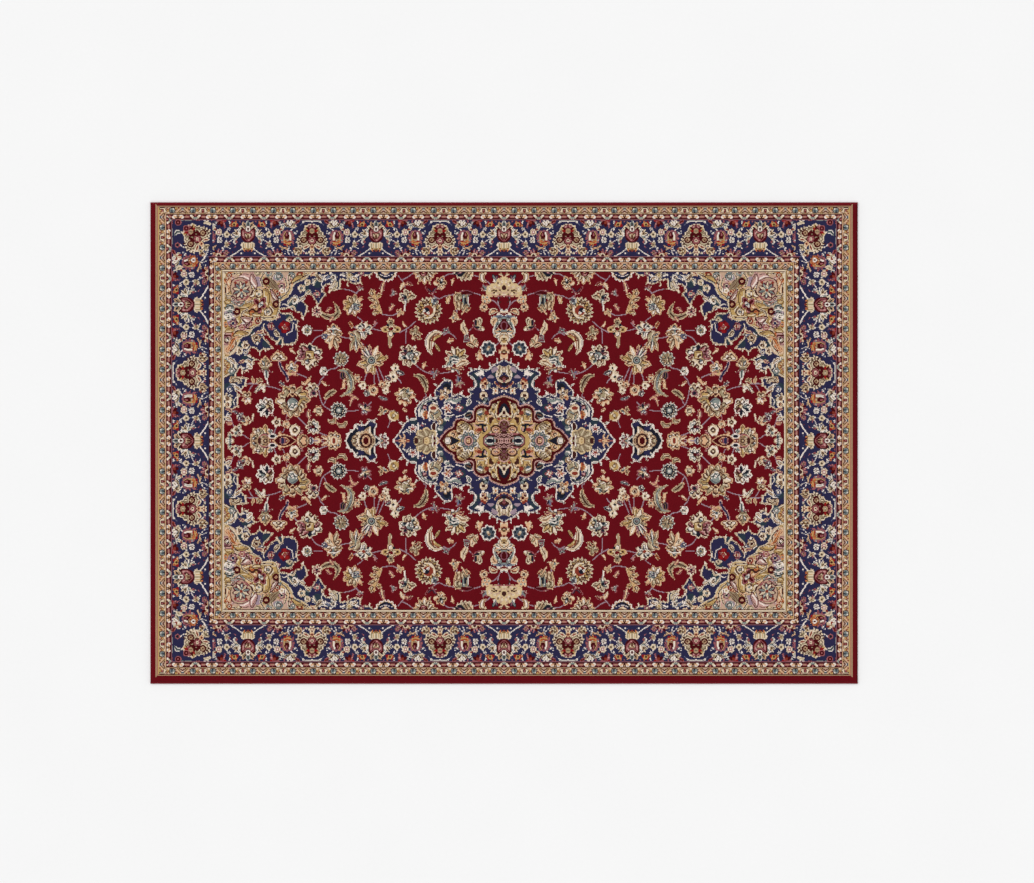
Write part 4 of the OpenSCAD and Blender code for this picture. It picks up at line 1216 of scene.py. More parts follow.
def flame(w, x, y):
    """Oval flower with a red heart and an orange foot. x, y is its middle."""
    for turn in range(-70, 250, 32):
        drop(w, *turned(x, y, turn, 12), turn, 14, 8, "rose")
    w.disc(x, y, 18, "mauve", 1.5)
    w.disc(x, y - 1, 14, "tan", 1.6)
    w.stroke([(x - 9, y - 18), (x - 12, y), (x - 7, y + 18)], 4, "gold")
    w.disc(x - 2, y + 6, 8, "dark", 1.7)
    w.disc(x - 3, y + 10, 3, "rose", 1.6)
    w.stroke([(x + 6, y - 16), (x + 10, y), (x + 6, y + 16)], 4.4, "white")
    fan(w, x, y - 14, -90, 190, 5, 17, 9, ["orange", "scarlet", "orange"], None)
    w.stroke([(x - 12, y - 16), (x, y - 20), (x + 12, y - 16)], 3, "gold")


# Each tile holds half a repeat in mm, and is mirrored from repeat to repeat
BORDER_HALF = 212.5
GUARD_HALF, GUARD_DEPTH = 66.5, 20.0
STRIPE_HALF, STRIPE_DEPTH = 57.0, 17.5


def border_tile():
    """Half a repeat of the main border: a vase palmette at 0 and a lobed one at the far end."""
    w = Loom(BORDER_HALF, BORDER + 3, KNOT * 1000)
    w.rect(0, BORDER_HALF, 0, BORDER + 3, "navy")
    lines(w, "blue", 3.2, [(40, 60), (60, 50), (74, 40), (84, 20), (100, 8)], [(70, 66), (72, 52), (76, 40)],
        [(96, 70), (98, 60), (96, 48)], [(110, 100), (128, 96), (144, 104)],
        [(140, 84), (150, 92), (160, 94)], [(54, 98), (66, 92), (72, 80)], [(154, 72), (164, 78), (162, 84)],
        [(136, 22), (146, 14), (150, 2)], [(174, 104), (186, 114), (205, 117)],
        [(170, 30), (182, 20), (194, 8)], [(60, 26), (70, 32), (80, 30)], [(136, 30), (132, 16), (138, 4)])
    w.stroke([(28, 88), (20, 76), (20, 62), (12, 50)], 4, "cream")
    w.stroke([(30, 86), (36, 88)], 5, "white")
    w.stroke([(14, 30), (34, 14), (58, 0)], 4.6, "white")
    fan(w, 28, 66, 40, 150, 6, 28, 8, ["cream", "grey", "white"], None, droop=0.1)
    drop(w, 30, 68, 30, 24, 7, "olive")
    leaf(w, [(34, 52), (44, 46), (50, 50)], 9, "rose", vein="dark")
    leaf(w, [(40, 40), (46, 46), (44, 56)], 6, "grey")
    fan(w, 46, 100, 90, 160, 4, 20, 10, ["orange", "scarlet"], None)
    w.disc(46, 106, 7, "gold")
    w.disc(46, 105, 4, "brown")
    fan(w, 88, 118, -90, 180, 5, 20, 11, ["scarlet", "rose", "dark"], None)
    w.disc(88, 112, 5, "rust")
    rosette(w, 70, 72, 11, 5, "cream", gap="night", ring="olive", eye="brown", turn=90)
    rosette(w, 70, 39, 10, 4, "olive", gap="night", ring="tan", eye="night", turn=45)
    rosette(w, 97, 80, 12, 8, "cream", gap="mauve", ring="rose", eye="white", turn=22, split=0.45)
    rosette(w, 94, 53, 10, 4, "white", gap="night", ring="brown", eye="white", turn=45, split=0.3)
    leaf(w, [(108, 84), (114, 96), (116, 110)], 11, "cream", vein="grey")
    leaf(w, [(104, 104), (118, 104), (132, 96)], 7, "grey")
    fan(w, 140, 96, 78, 130, 5, 26, 11, ["cream", "olive", "white"], "olive", droop=0.1)
    drop(w, 154, 108, 34, 22, 11, "rose")
    drop(w, 156, 110, 34, 16, 6, "dark")
    flame(w, 131, 62)
    w.stroke([(106, 34), (118, 28), (130, 26)], 6, "tan")
    fan(w, 98, 0, 90, 176, 7, 26, 8, ["rose", "peach", "dark"], None, droop=0.1)
    rings(w, 98, 2, (9, "cream"), (5, "brown"))
    rosette(w, 72, 12, 10, 6, "mauve", gap="night", ring="tan", eye="dark")
    w.disc(166, 18, 15, "tan", 0.85)
    fan(w, 172, 18, 180, 150, 5, 22, 7, ["cream", "olive"], None, droop=0.1)
    w.disc(170, 18, 6, "gold")
    w.disc(160, 18, 4, "brown")
    w.stroke([(182, 114), (196, 118), (212, 116)], 5, "grey")
    for x, y, angle, colour in ((52, 66, 60, "olive"), (60, 46, -40, "rose"), (84, 66, 90, "grey"),
            (80, 26, 20, "blue"), (108, 66, -80, "rose"), (116, 20, 120, "olive"), (112, 50, 40, "grey"),
            (58, 12, 100, "rust"), (62, 86, 120, "blue"), (74, 96, 40, "rose"), (106, 92, -20, "rust"),
            (22, 116, 0, "mauve"), (118, 112, 60, "rose"), (146, 40, 30, "mauve"), (150, 22, 60, "rust"),
            (152, 82, -60, "grey"), (170, 112, 100, "rust"), (20, 6, 60, "blue"), (40, 28, 70, "mauve"),
            (122, 8, 80, "grey"), (184, 8, 60, "rose"), (198, 6, 120, "olive"), (58, 116, -60, "blue"),
            (106, 116, -90, "grey")):
        fan(w, x, y, angle, 130, 3, 9, 5, [colour], None)
    vase_palmette(w, 0, 2)
    lobed_palmette(w, 212, 60, 90)
    return w


def guard_tile():
    """Half a repeat of a gold guard: a red heart at 0, a grey curl, a brown knot at the end."""
    w = Loom(GUARD_HALF, GUARD_DEPTH, KNOT * 1000)
    w.rect(0, GUARD_HALF, 0, GUARD_DEPTH, "sand")
    dots(w, "gold", 6, (19, 10), (46, 15), (52, 3))
    w.stroke([(0, 19), (9, 17), (13, 9), (8, 2)], 2.6, "brown")
    w.stroke([(3, 16), (8, 12), (9, 6)], 5.2, "cream")
    rings(w, 0, 10, (6, "dark"), (2.6, "rose"))
    w.disc(0, 2, 4, "rust")
    lines(w, "rust", 2.6, [(15, 16), (21, 11), (24, 16)], [(15, 3), (20, 8)], [(42, 14), (47, 10), (50, 17)])
    w.disc(20, 2, 3, "cream")
    rings(w, 33, 10, (11, "brown"), (8.6, "grey"))
    w.disc(31, 9, 4.6, "slate")
    w.disc(37, 14, 2.8, "white")
    w.disc(33, 4, 2.6, "night")
    w.stroke([(48, 4), (54, 10), (60, 16)], 2.6, "peach")
    w.stroke([(52, 3), (57, 9), (62, 13)], 4.4, "umber")
    w.stroke([(60, 3), (67, 7)], 4, "dark")
    w.disc(66, 15, 3, "slate")
    w.disc(66, 11, 1.6, "white")
    w.disc(55, 17, 2.6, "rust")
    dots(w, "brown", 2, (5, 1), (16, 19), (27, 1), (40, 19), (45, 3), (58, 1))
    return w


def stripe_tile():
    """Half a repeat of a red stripe: an open flower at 0, a pink lens, a pair of petals at the end."""
    w = Loom(STRIPE_HALF, STRIPE_DEPTH, KNOT * 1000)
    w.rect(0, STRIPE_HALF, 0, STRIPE_DEPTH, "dark")
    w.rect(0, STRIPE_HALF, 0, 2.5, "brown")
    w.stroke([(0, 3), (8, 6), (14, 13)], 6.5, "cream")
    w.stroke([(0, 4), (5, 5)], 6, "grey")
    w.disc(14, 13, 3.2, "white")
    w.disc(0, 14, 3.4, "rose")
    leaf(w, [(19, 9), (28, 9), (38, 9)], 9, "rose")
    w.stroke([(24, 9), (33, 9)], 2.6, "tan")
    leaf(w, [(39, 5), (46, 9), (50, 16)], 10, "white")
    leaf(w, [(41, 13), (48, 8), (55, 5)], 7, "peach")
    w.disc(57, 4, 3, "brown")
    w.disc(57, 13, 3, "tan")
    return w


def fold(position, half, phase=0.0):
    """Distance along a row of mirrored repeats."""
    return np.abs((position + phase + half) % (2 * half) - half)


def lay(w, tile, near, along_x, along_y, phase_x=0.0, phase_y=0.0, flip=False):
    """Lays a tile's repeats in the band that starts near mm inside the design's outer line.

    along_x and along_y are the lengths of half a repeat on the long and the short sides."""
    depth = tile.ny * tile.pitch
    dx, dy = DESIGN_L - w.x[None, :], DESIGN_W - w.y[:, None]
    d = np.minimum(dx, dy)
    on_side = dx < dy
    along = np.where(on_side, fold(w.y[:, None], along_y, phase_y) * (tile.nx * tile.pitch / along_y),
        fold(w.x[None, :], along_x, phase_x) * (tile.nx * tile.pitch / along_x))
    across = d - near if flip else near + depth - d
    mask = (d >= near) & (d < near + depth)
    i = np.clip((along / tile.pitch).astype(int), 0, tile.nx - 1)
    j = np.clip((across / tile.pitch).astype(int), 0, tile.ny - 1)
    w.yarn[mask] = tile.yarn[j, i][mask]


# The first band begins a little outside the design's outer line, so that no knot is left out (mm)
BANDS_FROM = -2.6


def bands(w, long_side, short_side):
    """Plain bands, each (where it ends in mm inside the design's outer line, yarn)."""
    dx, dy = DESIGN_L - w.x[None, :] + 0 * w.y[:, None], DESIGN_W - w.y[:, None] + 0 * w.x[None, :]
    for plan, d, mask in ((long_side, dy, dx >= dy), (short_side, dx, dx < dy)):
        near = BANDS_FROM
        for far, colour in plan:
            w.yarn[mask & (d >= near) & (d < far)] = INDEX[colour]
            near = far


def borders(w):
    """The frame of the field: the main border between two stripes and two guards."""
    bands(w, ((4, "red"), (7.4, "tan"), (9.9, "brown"), (30, "gold"), (32, "tan"), (49, "dark"),
        (53, "mauve"), (170, "navy"), (173, "mauve"), (190, "dark"), (193, "peach"), (214, "gold"),
        (216.5, "brown"), (221, "cream"), (223, "dark")),
        ((1, "tan"), (4, "rose"), (26, "gold"), (32, "peach"), (50, "dark"), (54, "mauve"), (173, "navy"),
        (188, "dark"), (194, "peach"), (217, "gold"), (219.5, "brown"), (223, "cream")))
    lay(w, border_tile(), 52, BORDER_HALF, 226)
    lay(w, guard_tile(), 9, 66.7, 67.5, phase_x=66.7)
    lay(w, stripe_tile(), 30.5, 57, 49, phase_y=49)
    lay(w, stripe_tile(), 173, 57, 49, phase_y=49, flip=True)
    lay(w, guard_tile(), 193.5, 66.7, 67.5, phase_x=66.7)
    border_corner(w)


def border_corner(w):
    """The corner of the main border: a round palmette and the small flowers about it."""
    w.rect(968, DESIGN_L - 55, 634, DESIGN_W - 53, "navy")
    lines(w, "blue", 3.2, [(1000, 600), (990, 616), (984, 634)], [(990, 640), (982, 628), (996, 610)],
        [(1060, 640), (1074, 650)])
    lobed_palmette(w, 1024, 676, 48)
    for x, y in ((1055, 705), (1082, 725)):
        rings(w, x, y, (11, "rose"), (8, "dark"), (3, "rose"))
    w.disc(1032, 600, 17, "peach", 0.8)
    rosette(w, 1032, 600, 17, 6, "orange", gap="dark", ring="white", eye="dark")
    fan(w, 1085, 612, 200, 170, 5, 18, 9, ["cream", "rust"], None)
    leaf(w, [(1066, 574), (1078, 576), (1090, 566)], 13, "cream", vein="olive")
    rings(w, 1084, 650, (9, "rose"), (5, "night"))
    leaf(w, [(1070, 690), (1084, 694), (1096, 680)], 13, "grey", vein="night")
    leaf(w, [(972, 716), (984, 724), (1000, 722)], 11, "cream", vein="olive")
    leaf(w, [(978, 650), (990, 644), (1000, 634)], 10, "olive", vein="brown")


# Yarns of petals and leaves, their light and dark shades, and their rims against the ground
FILLS = ("cream", "white", "gold", "tan", "olive", "grey", "blue", "peach", "rose", "mauve", "orange",
    "pink")
TONES = {"cream": ("white", "tan"), "white": ("white", "grey"), "olive": ("cream", "umber"),
    "tan": ("cream", "umber"), "gold": ("cream", "umber"), "grey": ("white", "slate"),
    "blue": ("white", "night"), "mauve": ("pink", "dark"), "peach": ("cream", "rust"),
    "rose": ("pink", "dark"), "pink": ("white", "umber"), "orange": ("peach", "rust")}
RIMS = {"olive": "cream", "tan": "peach", "grey": "white", "blue": "white", "gold": "cream", "mauve": "rose"}

# How many knots lie between the teeth of rims and between specks, the part of the frame that gets rims
# (mm inside the design's outer line), and the steps to a knot's four neighbours
TOOTH_EVERY, SPECK_EVERY = 5, 13
BORDER_FROM, BORDER_TO = 54, 169
AROUND = ((1, 0), (-1, 0), (0, 1), (0, -1))


def moved(a, dj, di):
    """The grid moved by whole knots, with its edge knots repeated."""
    j = np.clip(np.arange(a.shape[0]) - dj, 0, a.shape[0] - 1)
    i = np.clip(np.arange(a.shape[1]) - di, 0, a.shape[1] - 1)
    return a[j[:, None], i[None, :]]


def deep_inside(yarn):
    """Which knots have their own yarn on all four sides."""
    same = np.ones(yarn.shape, bool)
    for dj, di in AROUND:
        same &= moved(yarn, dj, di) == yarn
    return same


def in_yarns(yarn, names):
    """Which knots have one of the named yarns."""
    return np.isin(yarn, [INDEX[n] for n in names])


def finished_yarns(yarn, area, ragged=True):
    """Adds what a weaver's chart adds within the area: a lighter and a darker side inside large petals,
    a dark line where two fills meet, and a light rim against the ground, with teeth if it is ragged."""
    out = yarn.copy()
    fill = in_yarns(yarn, FILLS) & area
    deep = deep_inside(yarn)
    for plain, (light, dim) in TONES.items():
        here = fill & deep & (yarn == INDEX[plain])
        out[here & (moved(yarn, 2, -2) != yarn)] = INDEX[light]
        out[here & (moved(yarn, -2, 1) != yarn)] = INDEX[dim]
    for dj, di in ((0, 1), (1, 0), (0, -1), (-1, 0)):
        other = moved(yarn, -dj, -di)
        line = fill & in_yarns(other, FILLS) & (other != yarn) & moved(deep, 2 * dj, 2 * di)
        out[line & (moved(yarn, dj, di) == yarn)] = INDEX["brown"]
    rows, columns = np.indices(yarn.shape)
    for ground in ("red", "navy"):
        bare = yarn == INDEX[ground]
        touching, beside = np.zeros(yarn.shape, bool), np.zeros(yarn.shape, bool)
        for dj, di in AROUND:
            touching |= moved(bare, dj, di) & (moved(yarn, -dj, -di) == yarn)
            beside |= moved(fill, dj, di) & moved(fill, 2 * dj, 2 * di)
        for plain, rim in RIMS.items():
            out[fill & touching & (yarn == INDEX[plain])] = INDEX[rim]
        out[fill & moved(bare, 0, 1) & (moved(yarn, 0, -1) == yarn)
            & (moved(yarn, 0, -2) == yarn)] = INDEX[ground]
        if ragged:
            out[fill & touching & ((3 * columns + 5 * rows) % TOOTH_EVERY == 0)] = INDEX[ground]
            out[bare & beside & area & ((5 * columns + 3 * rows) % SPECK_EVERY == 1)] = INDEX["cream"]
    return out


def new_quarter():
    """An empty loom for a quarter of the rug."""
    return Loom(RUG_L * 500, RUG_W * 500 + SHIFT * 1000, KNOT * 1000)


def quarter():
    """The yarn of each knot in a quarter of the design."""
    w = new_quarter()
    w.rect(0, BEYOND, 0, BEYOND, "red")
    for draw in (field_vines, field_centre_column, field_frame_side, field_inner_sprays, field_middle_sprays,
            field_outer_sprays, corners, medallion, pendant):
        draw(w)
    inner = (w.x[None, :] < FIELD_L) & (w.y[:, None] < FIELD_W)
    w.yarn = finished_yarns(w.yarn, inner)
    borders(w)
    depth = np.minimum(DESIGN_L - w.x[None, :], DESIGN_W - w.y[:, None])
    w.yarn = finished_yarns(w.yarn, (depth > BORDER_FROM) & (depth < BORDER_TO), ragged=False)
    return w


# ---------------------------------------------------------------- zones of the pile
# Half the pile's columns and rows of knots, and the numbers of its zones
PILE_COLUMNS, PILE_ROWS = 468, 317
(SURROUND, OUTER_GUARD_ZONE, OUTER_STRIPE_ZONE, MAIN_ZONE, INNER_STRIPE_ZONE, INNER_GUARD_ZONE, FIELD_ZONE,
    CORNER_ZONE, BAND_ZONE, PENDANT_ZONE, EDGING_ZONE, GROUND_ZONE, CORE_ZONE) = range(13)

# The medallion's edging in mm to each side of its outline, and the most passes against corner contacts
EDGING_WIDTH = 8.0
MOST_PASSES = 20


def covered(draw):
    """Which knots of a quarter the drawing covers."""
    w = new_quarter()
    draw(w)
    return w.yarn == INDEX["cream"]


def straight_line(w, points, width):
    """Draws straight pieces of line from point to point."""
    for ends in zip(points, points[1:]):
        w.stroke(list(ends), width, "cream")


def quarter_zones():
    """The zone number of each knot in a quarter of the design."""
    w = new_quarter()
    d = np.minimum(DESIGN_L - w.x[None, :], DESIGN_W - w.y[:, None])
    zone = np.full(w.yarn.shape, SURROUND)
    edge = 0
    for width, name in ((OUTER_GUARD, OUTER_GUARD_ZONE), (OUTER_STRIPE, OUTER_STRIPE_ZONE),
            (BORDER, MAIN_ZONE), (INNER_STRIPE, INNER_STRIPE_ZONE), (INNER_GUARD, INNER_GUARD_ZONE),
            (BEYOND, FIELD_ZONE)):
        zone[(d >= edge) & (d < edge + width)] = name
        edge += width
    inside = zone == FIELD_ZONE
    out_x, out_y = FIELD_L + 5, FIELD_W + 5
    for line, name in ((BAND_LINE, BAND_ZONE), (CORNER_LINE, CORNER_ZONE)):
        outline = line + [(out_x, line[-1][1]), (out_x, out_y), (line[0][0], out_y)]
        zone[inside & covered(lambda w: w.polygon(outline, "cream"))] = name
    medallion_area = covered(lambda w: w.polygon(MEDALLION + [(0, 0)], "cream"))
    rim = covered(lambda w: straight_line(w, MEDALLION, 2 * EDGING_WIDTH))
    zone[medallion_area] = GROUND_ZONE
    zone[covered(lambda w: w.polygon(CORE + [(0, 0)], "cream"))] = CORE_ZONE
    zone[medallion_area & rim] = EDGING_ZONE
    zone[covered(lambda w: w.polygon(PENDANT, "cream")) & inside] = PENDANT_ZONE
    return zone


def unfolded(quarter_values):
    """A quarter's values over the whole pile, rows from front to back and columns from left to right."""
    columns = np.arange(-PILE_COLUMNS, PILE_COLUMNS)
    columns = np.where(columns < 0, -columns - 1, columns)
    shift = round(SHIFT / KNOT)
    rows = np.arange(-PILE_ROWS, PILE_ROWS) - shift
    rows = np.where(rows < 0, -rows - 1, rows)
    return quarter_values[rows[:, None], columns[None, :]]


def without_corner_contacts(zone):
    """Changes single knots so that no zone meets itself only at a corner."""
    zone = zone.copy()
    for _ in range(MOST_PASSES):
        a, b, c, d = zone[:-1, :-1], zone[:-1, 1:], zone[1:, :-1], zone[1:, 1:]
        first = (a == d) & (a != b) & (a != c)
        second = (b == c) & (b != a) & (b != d) & ~first
        if not first.any() and not second.any():
            return zone
        j, i = np.nonzero(first)
        zone[j, i + 1] = zone[j, i]
        j, i = np.nonzero(second)
        zone[j, i] = zone[j, i + 1]
    return zone


# ---------------------------------------------------------------- meshes
# Points inside an underside: the first one's knot, and the knots from one to the next
UNDER_FIRST, UNDER_STEP = 10, 24
# Painted shade: undersides and side walls are painted darker than the tufts, as these shares of the tufts'
# colour
UNDER_PAINTED_SHADE, WALL_PAINTED_SHADE = 0.8, 0.85
# Metres: how far tufts are below the CAD's top, how uneven they are, how much lower where the yarn changes
BELOW_TOP, UNEVEN, PARTING = 0.0003, 0.00018, 0.0006
# How much lower the grid's corners are, in metres, from the pile's edge inwards
EDGE_FALL = (0.0026, 0.0009, 0.0003, 0.0)
# The light's strength, by which colours are divided, and the spread and limits of the dye from tuft to tuft
LIGHT_LEVEL, DYE_SPREAD, DYE_LIMITS = 1.1, 0.06, (0.8, 1.2)


def linear(rgb):
    """sRGB 0-255 to linear light."""
    c = np.asarray(rgb, float) / 255
    return np.where(c <= 0.04045, c / 12.92, ((c + 0.055) / 1.055) ** 2.4)


def mesh_object(name, points, faces):
    """A mesh from an array of points and a list of arrays of faces."""
    mesh = bpy.data.meshes.new(name)
    loops = np.concatenate([np.asarray(f, np.int32).reshape(-1) for f in faces])
    sizes = np.concatenate([np.full(len(f), np.asarray(f).shape[1], np.int32) for f in faces])
    starts = np.concatenate([[0], np.cumsum(sizes)[:-1]]).astype(np.int32)
    mesh.vertices.add(len(points))
    mesh.vertices.foreach_set("co", np.asarray(points, np.float32).reshape(-1))
    mesh.loops.add(len(loops))
    mesh.loops.foreach_set("vertex_index", loops)
    mesh.polygons.add(len(sizes))
    mesh.polygons.foreach_set("loop_start", starts)
    mesh.update(calc_edges=True)
    mesh.validate()
    obj = bpy.data.objects.new(name, mesh)
    bpy.context.scene.collection.objects.link(obj)
    return obj


def finished(obj, body_slot, material, *nodes):
    """Gives a piece its material and body, and hides the CAD nodes that it stands for."""
    obj.data.materials.append(material)
    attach(obj, "root")
    if nodes:
        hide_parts(*nodes)
    return obj


def underside(mask, edge_points):
    """Triangles that close a zone's underside: their corners on the knot grid, and their indexes."""
    rows, columns = mask.shape
    inner = [(i + 0.5, j + 0.5) for j in range(UNDER_FIRST, rows, UNDER_STEP)
        for i in range(UNDER_FIRST, columns, UNDER_STEP) if mask[j, i]]
    points = [tuple(p) for p in edge_points] + inner
    known = {p: k for k, p in enumerate(points)}
    steps = [((1, 0), (0, 0), (0, -1)), ((0, 1), (0, 0), (-1, 0))]
    edges = []
    for (x, y), k in list(known.items())[:len(edge_points)]:
        for (dx, dy), one, other in steps:
            end = known.get((x + dx, y + dy))
            if end is not None and (inside(mask, x + one[0], y + one[1])
                    != inside(mask, x + other[0], y + other[1])):
                edges.append((k, end))
    found = delaunay_2d_cdt([Vector(p) for p in points], edges, [], 0, 1e-6)
    out, faces = np.array([tuple(v) for v in found[0]]), np.array([list(f) for f in found[2]])
    centre = out[faces].mean(axis=1)
    keep = mask[np.clip(centre[:, 1].astype(int), 0, rows - 1),
        np.clip(centre[:, 0].astype(int), 0, columns - 1)]
    assert len(out) == len(points)
    return out, faces[keep]


def inside(mask, x, y):
    """Whether a place on the knot grid is covered by the mask."""
    return 0 <= y < mask.shape[0] and 0 <= x < mask.shape[1] and bool(mask[int(y), int(x)])


def line_places(index, count, half):
    """Where lines of the knot grid lie from the middle; the first and the last are on the pile's edge."""
    return np.where(index == 0, -half, np.where(index == count, half, (index - count / 2) * KNOT))


def pile_piece(name, mask, heights, colours, base_z):
    """A closed block of cut pile that covers the masked knots. heights are of the grid's corners."""
    rows, columns = mask.shape
    solid = np.zeros((rows + 2, columns + 2), bool)
    solid[1:-1, 1:-1] = mask
    used = solid[:-1, :-1] | solid[:-1, 1:] | solid[1:, :-1] | solid[1:, 1:]
    rim = used & ~(solid[:-1, :-1] & solid[:-1, 1:] & solid[1:, :-1] & solid[1:, 1:])
    top_index = np.full(used.shape, -1)
    top_index[used] = np.arange(used.sum())
    j, i = np.nonzero(used)
    half_length, half_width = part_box("surround_pile")[1][:2]
    top = np.column_stack([line_places(i, columns, half_length), line_places(j, rows, half_width),
        heights[used]])
    cj, ci = np.nonzero(mask)
    cells = np.stack([top_index[cj, ci], top_index[cj, ci + 1], top_index[cj + 1, ci + 1],
        top_index[cj + 1, ci]], axis=1)
    rj, ri = np.nonzero(rim)
    edge_points = list(zip(ri.tolist(), rj.tolist()))
    low, low_faces = underside(mask, edge_points)
    first_low = len(top)
    low_index = np.full(used.shape, -1)
    low_index[rim] = first_low + np.arange(rim.sum())
    low_points = np.column_stack([line_places(low[:, 0], columns, half_length),
        line_places(low[:, 1], rows, half_width), np.full(len(low), base_z)])
    walls, wall_colours = [], []
    for (dj, di), (ej, ei), neighbour in (((0, 0), (0, 1), (-1, 0)), ((0, 1), (1, 1), (0, 1)),
            ((1, 1), (1, 0), (1, 0)), ((1, 0), (0, 0), (0, -1))):
        out = ~solid[cj + 1 + neighbour[0], ci + 1 + neighbour[1]]
        a = (cj[out] + dj, ci[out] + di)
        b = (cj[out] + ej, ci[out] + ei)
        walls.append(np.stack([top_index[b], top_index[a], low_index[a], low_index[b]], axis=1))
        wall_colours.append(colours[cj[out], ci[out]])
    walls = np.concatenate(walls)
    obj = mesh_object(name, np.concatenate([top, low_points]),
        [cells, walls, low_faces[:, ::-1] + first_low])
    paint = np.ones((len(cells) + len(walls) + len(low_faces), 4), np.float32)
    paint[:len(cells), :3] = colours[cj, ci]
    # Painted shade: the underside gets the pile's mean colour darkened, and each side wall its knot's colour
    # darkened
    paint[len(cells):, :3] = colours[cj, ci].mean(axis=0) * UNDER_PAINTED_SHADE
    paint[len(cells):len(cells) + len(walls), :3] = np.concatenate(wall_colours) * WALL_PAINTED_SHADE
    layer = obj.data.attributes.new("yarn", "FLOAT_COLOR", "FACE")
    layer.data.foreach_set("color", paint.reshape(-1))
    smooth = np.zeros(len(paint), bool)
    smooth[:len(cells)] = True
    obj.data.polygons.foreach_set("use_smooth", smooth)
    return obj


def pile_heights(yarns, top):
    """Heights of the knot grid's corners: lower where the yarn changes, and falling towards the edges."""
    rng = np.random.default_rng(11)
    p = np.pad(yarns, 1, mode="edge")
    a, b, c, d = p[:-1, :-1], p[:-1, 1:], p[1:, :-1], p[1:, 1:]
    parted = (a != b) | (c != d) | (a != c)
    height = top - BELOW_TOP - PARTING * parted + rng.uniform(-UNEVEN, UNEVEN, parted.shape)
    rows, columns = height.shape
    j, i = np.arange(rows)[:, None], np.arange(columns)[None, :]
    from_edge = np.minimum(np.minimum(i, columns - 1 - i), np.minimum(j, rows - 1 - j))
    return height - np.choose(np.minimum(from_edge, len(EDGE_FALL) - 1), EDGE_FALL)


def knot_colours(yarns):
    """Each knot's colour: its yarn's, a little lighter or darker from tuft to tuft."""
    rng = np.random.default_rng(5)
    palette = linear([YARNS[n] for n in NAMES]) / LIGHT_LEVEL
    return palette[yarns] * rng.normal(1.0, DYE_SPREAD, yarns.shape).clip(*DYE_LIMITS)[..., None]


def build_pile(materials):
    """All the pieces of pile, each over its own CAD node."""
    base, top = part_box("field_pile")[0][2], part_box("field_pile")[1][2]
    zones = without_corner_contacts(unfolded(quarter_zones()))
    yarns = unfolded(quarter().yarn)
    heights, colours = pile_heights(yarns, top), knot_colours(yarns)
    right = np.broadcast_to(np.arange(zones.shape[1])[None, :] >= PILE_COLUMNS, zones.shape)
    back = np.broadcast_to(np.arange(zones.shape[0])[:, None] >= PILE_ROWS + round(SHIFT / KNOT),
        zones.shape)
    plan = [("surround", SURROUND, "red_pile"), ("outer_guard", OUTER_GUARD_ZONE, "gold_pile"),
        ("outer_stripe", OUTER_STRIPE_ZONE, "rust_pile"), ("main_border", MAIN_ZONE, "navy_pile"),
        ("inner_stripe", INNER_STRIPE_ZONE, "rust_pile"), ("inner_guard", INNER_GUARD_ZONE, "gold_pile"),
        ("field", FIELD_ZONE, "red_pile"), ("medallion_edging", EDGING_ZONE, "cream_pile"),
        ("medallion_ground", GROUND_ZONE, "navy_pile"), ("medallion_core", CORE_ZONE, "gold_pile")]
    parts = [(name, zones == zone, slot) for name, zone, slot in plan]
    for y_name, y_side in (("front", ~back), ("back", back)):
        for x_name, x_side in (("left", ~right), ("right", right)):
            place = y_side & x_side
            parts.append((f"{y_name}_{x_name}_corner", (zones == CORNER_ZONE) & place, "gold_pile"))
            parts.append((f"{y_name}_{x_name}_band", (zones == BAND_ZONE) & place, "navy_pile"))
    for name, side in (("left", ~right), ("right", right)):
        parts.append((f"{name}_pendant", (zones == PENDANT_ZONE) & side, "navy_pile"))
    made = []
    for name, mask, slot in parts:
        piece = pile_piece(f"{name}_tufts", mask, heights, colours, base)
        made.append(finished(piece, slot, materials[slot], f"{name}_pile"))
    return made


def swept(name, rings):
    """A closed solid through rings of points, each ring an array (points, 3)."""
    rings = np.asarray(rings, float)
    n, m = rings.shape[:2]
    index = np.arange(n * m).reshape(n, m)
    a, b = index[:-1], index[1:]
    sides = np.stack([a, np.roll(a, -1, axis=1), np.roll(b, -1, axis=1), b], axis=-1).reshape(-1, 4)
    obj = mesh_object(name, rings.reshape(-1, 3), [sides, index[0][None, ::-1], index[-1][None, :]])
    outward(obj)
    return obj


def outward(obj):
    """Turns all faces outward."""
    bm = bmesh.new()
    bm.from_mesh(obj.data)
    bmesh.ops.recalc_face_normals(bm, faces=bm.faces)
    bm.to_mesh(obj.data)
    bm.free()


def smooth_shaded(obj, angle):
    """Smooth shading, with edges kept sharp above the angle in degrees."""
    obj.data.polygons.foreach_set("use_smooth", np.ones(len(obj.data.polygons), bool))
    obj.data.set_sharp_from_angle(angle=math.radians(angle))


# The wrapped edge in metres: its outer radius, the yarn's thickness, one turn of the yarn and the slot's lip
BEAD, WRAP, WRAP_PITCH, SLOT_TOP = 0.0032, 0.0006, 0.0032, 0.0006
# Rings of points in a turn and in each closed end, the ridges' lean, the ridges' depth and the yarn's fuzz
# as shares of the radius, and the points on the outer and the inner arc
RINGS_A_TURN, PLUG_RINGS = 4, 4
WRAP_LEAN, RIDGE_DEPTH, YARN_FUZZ = 0.35, 0.10, 0.015
ARC_STEPS, BORE_STEPS = 15, 12


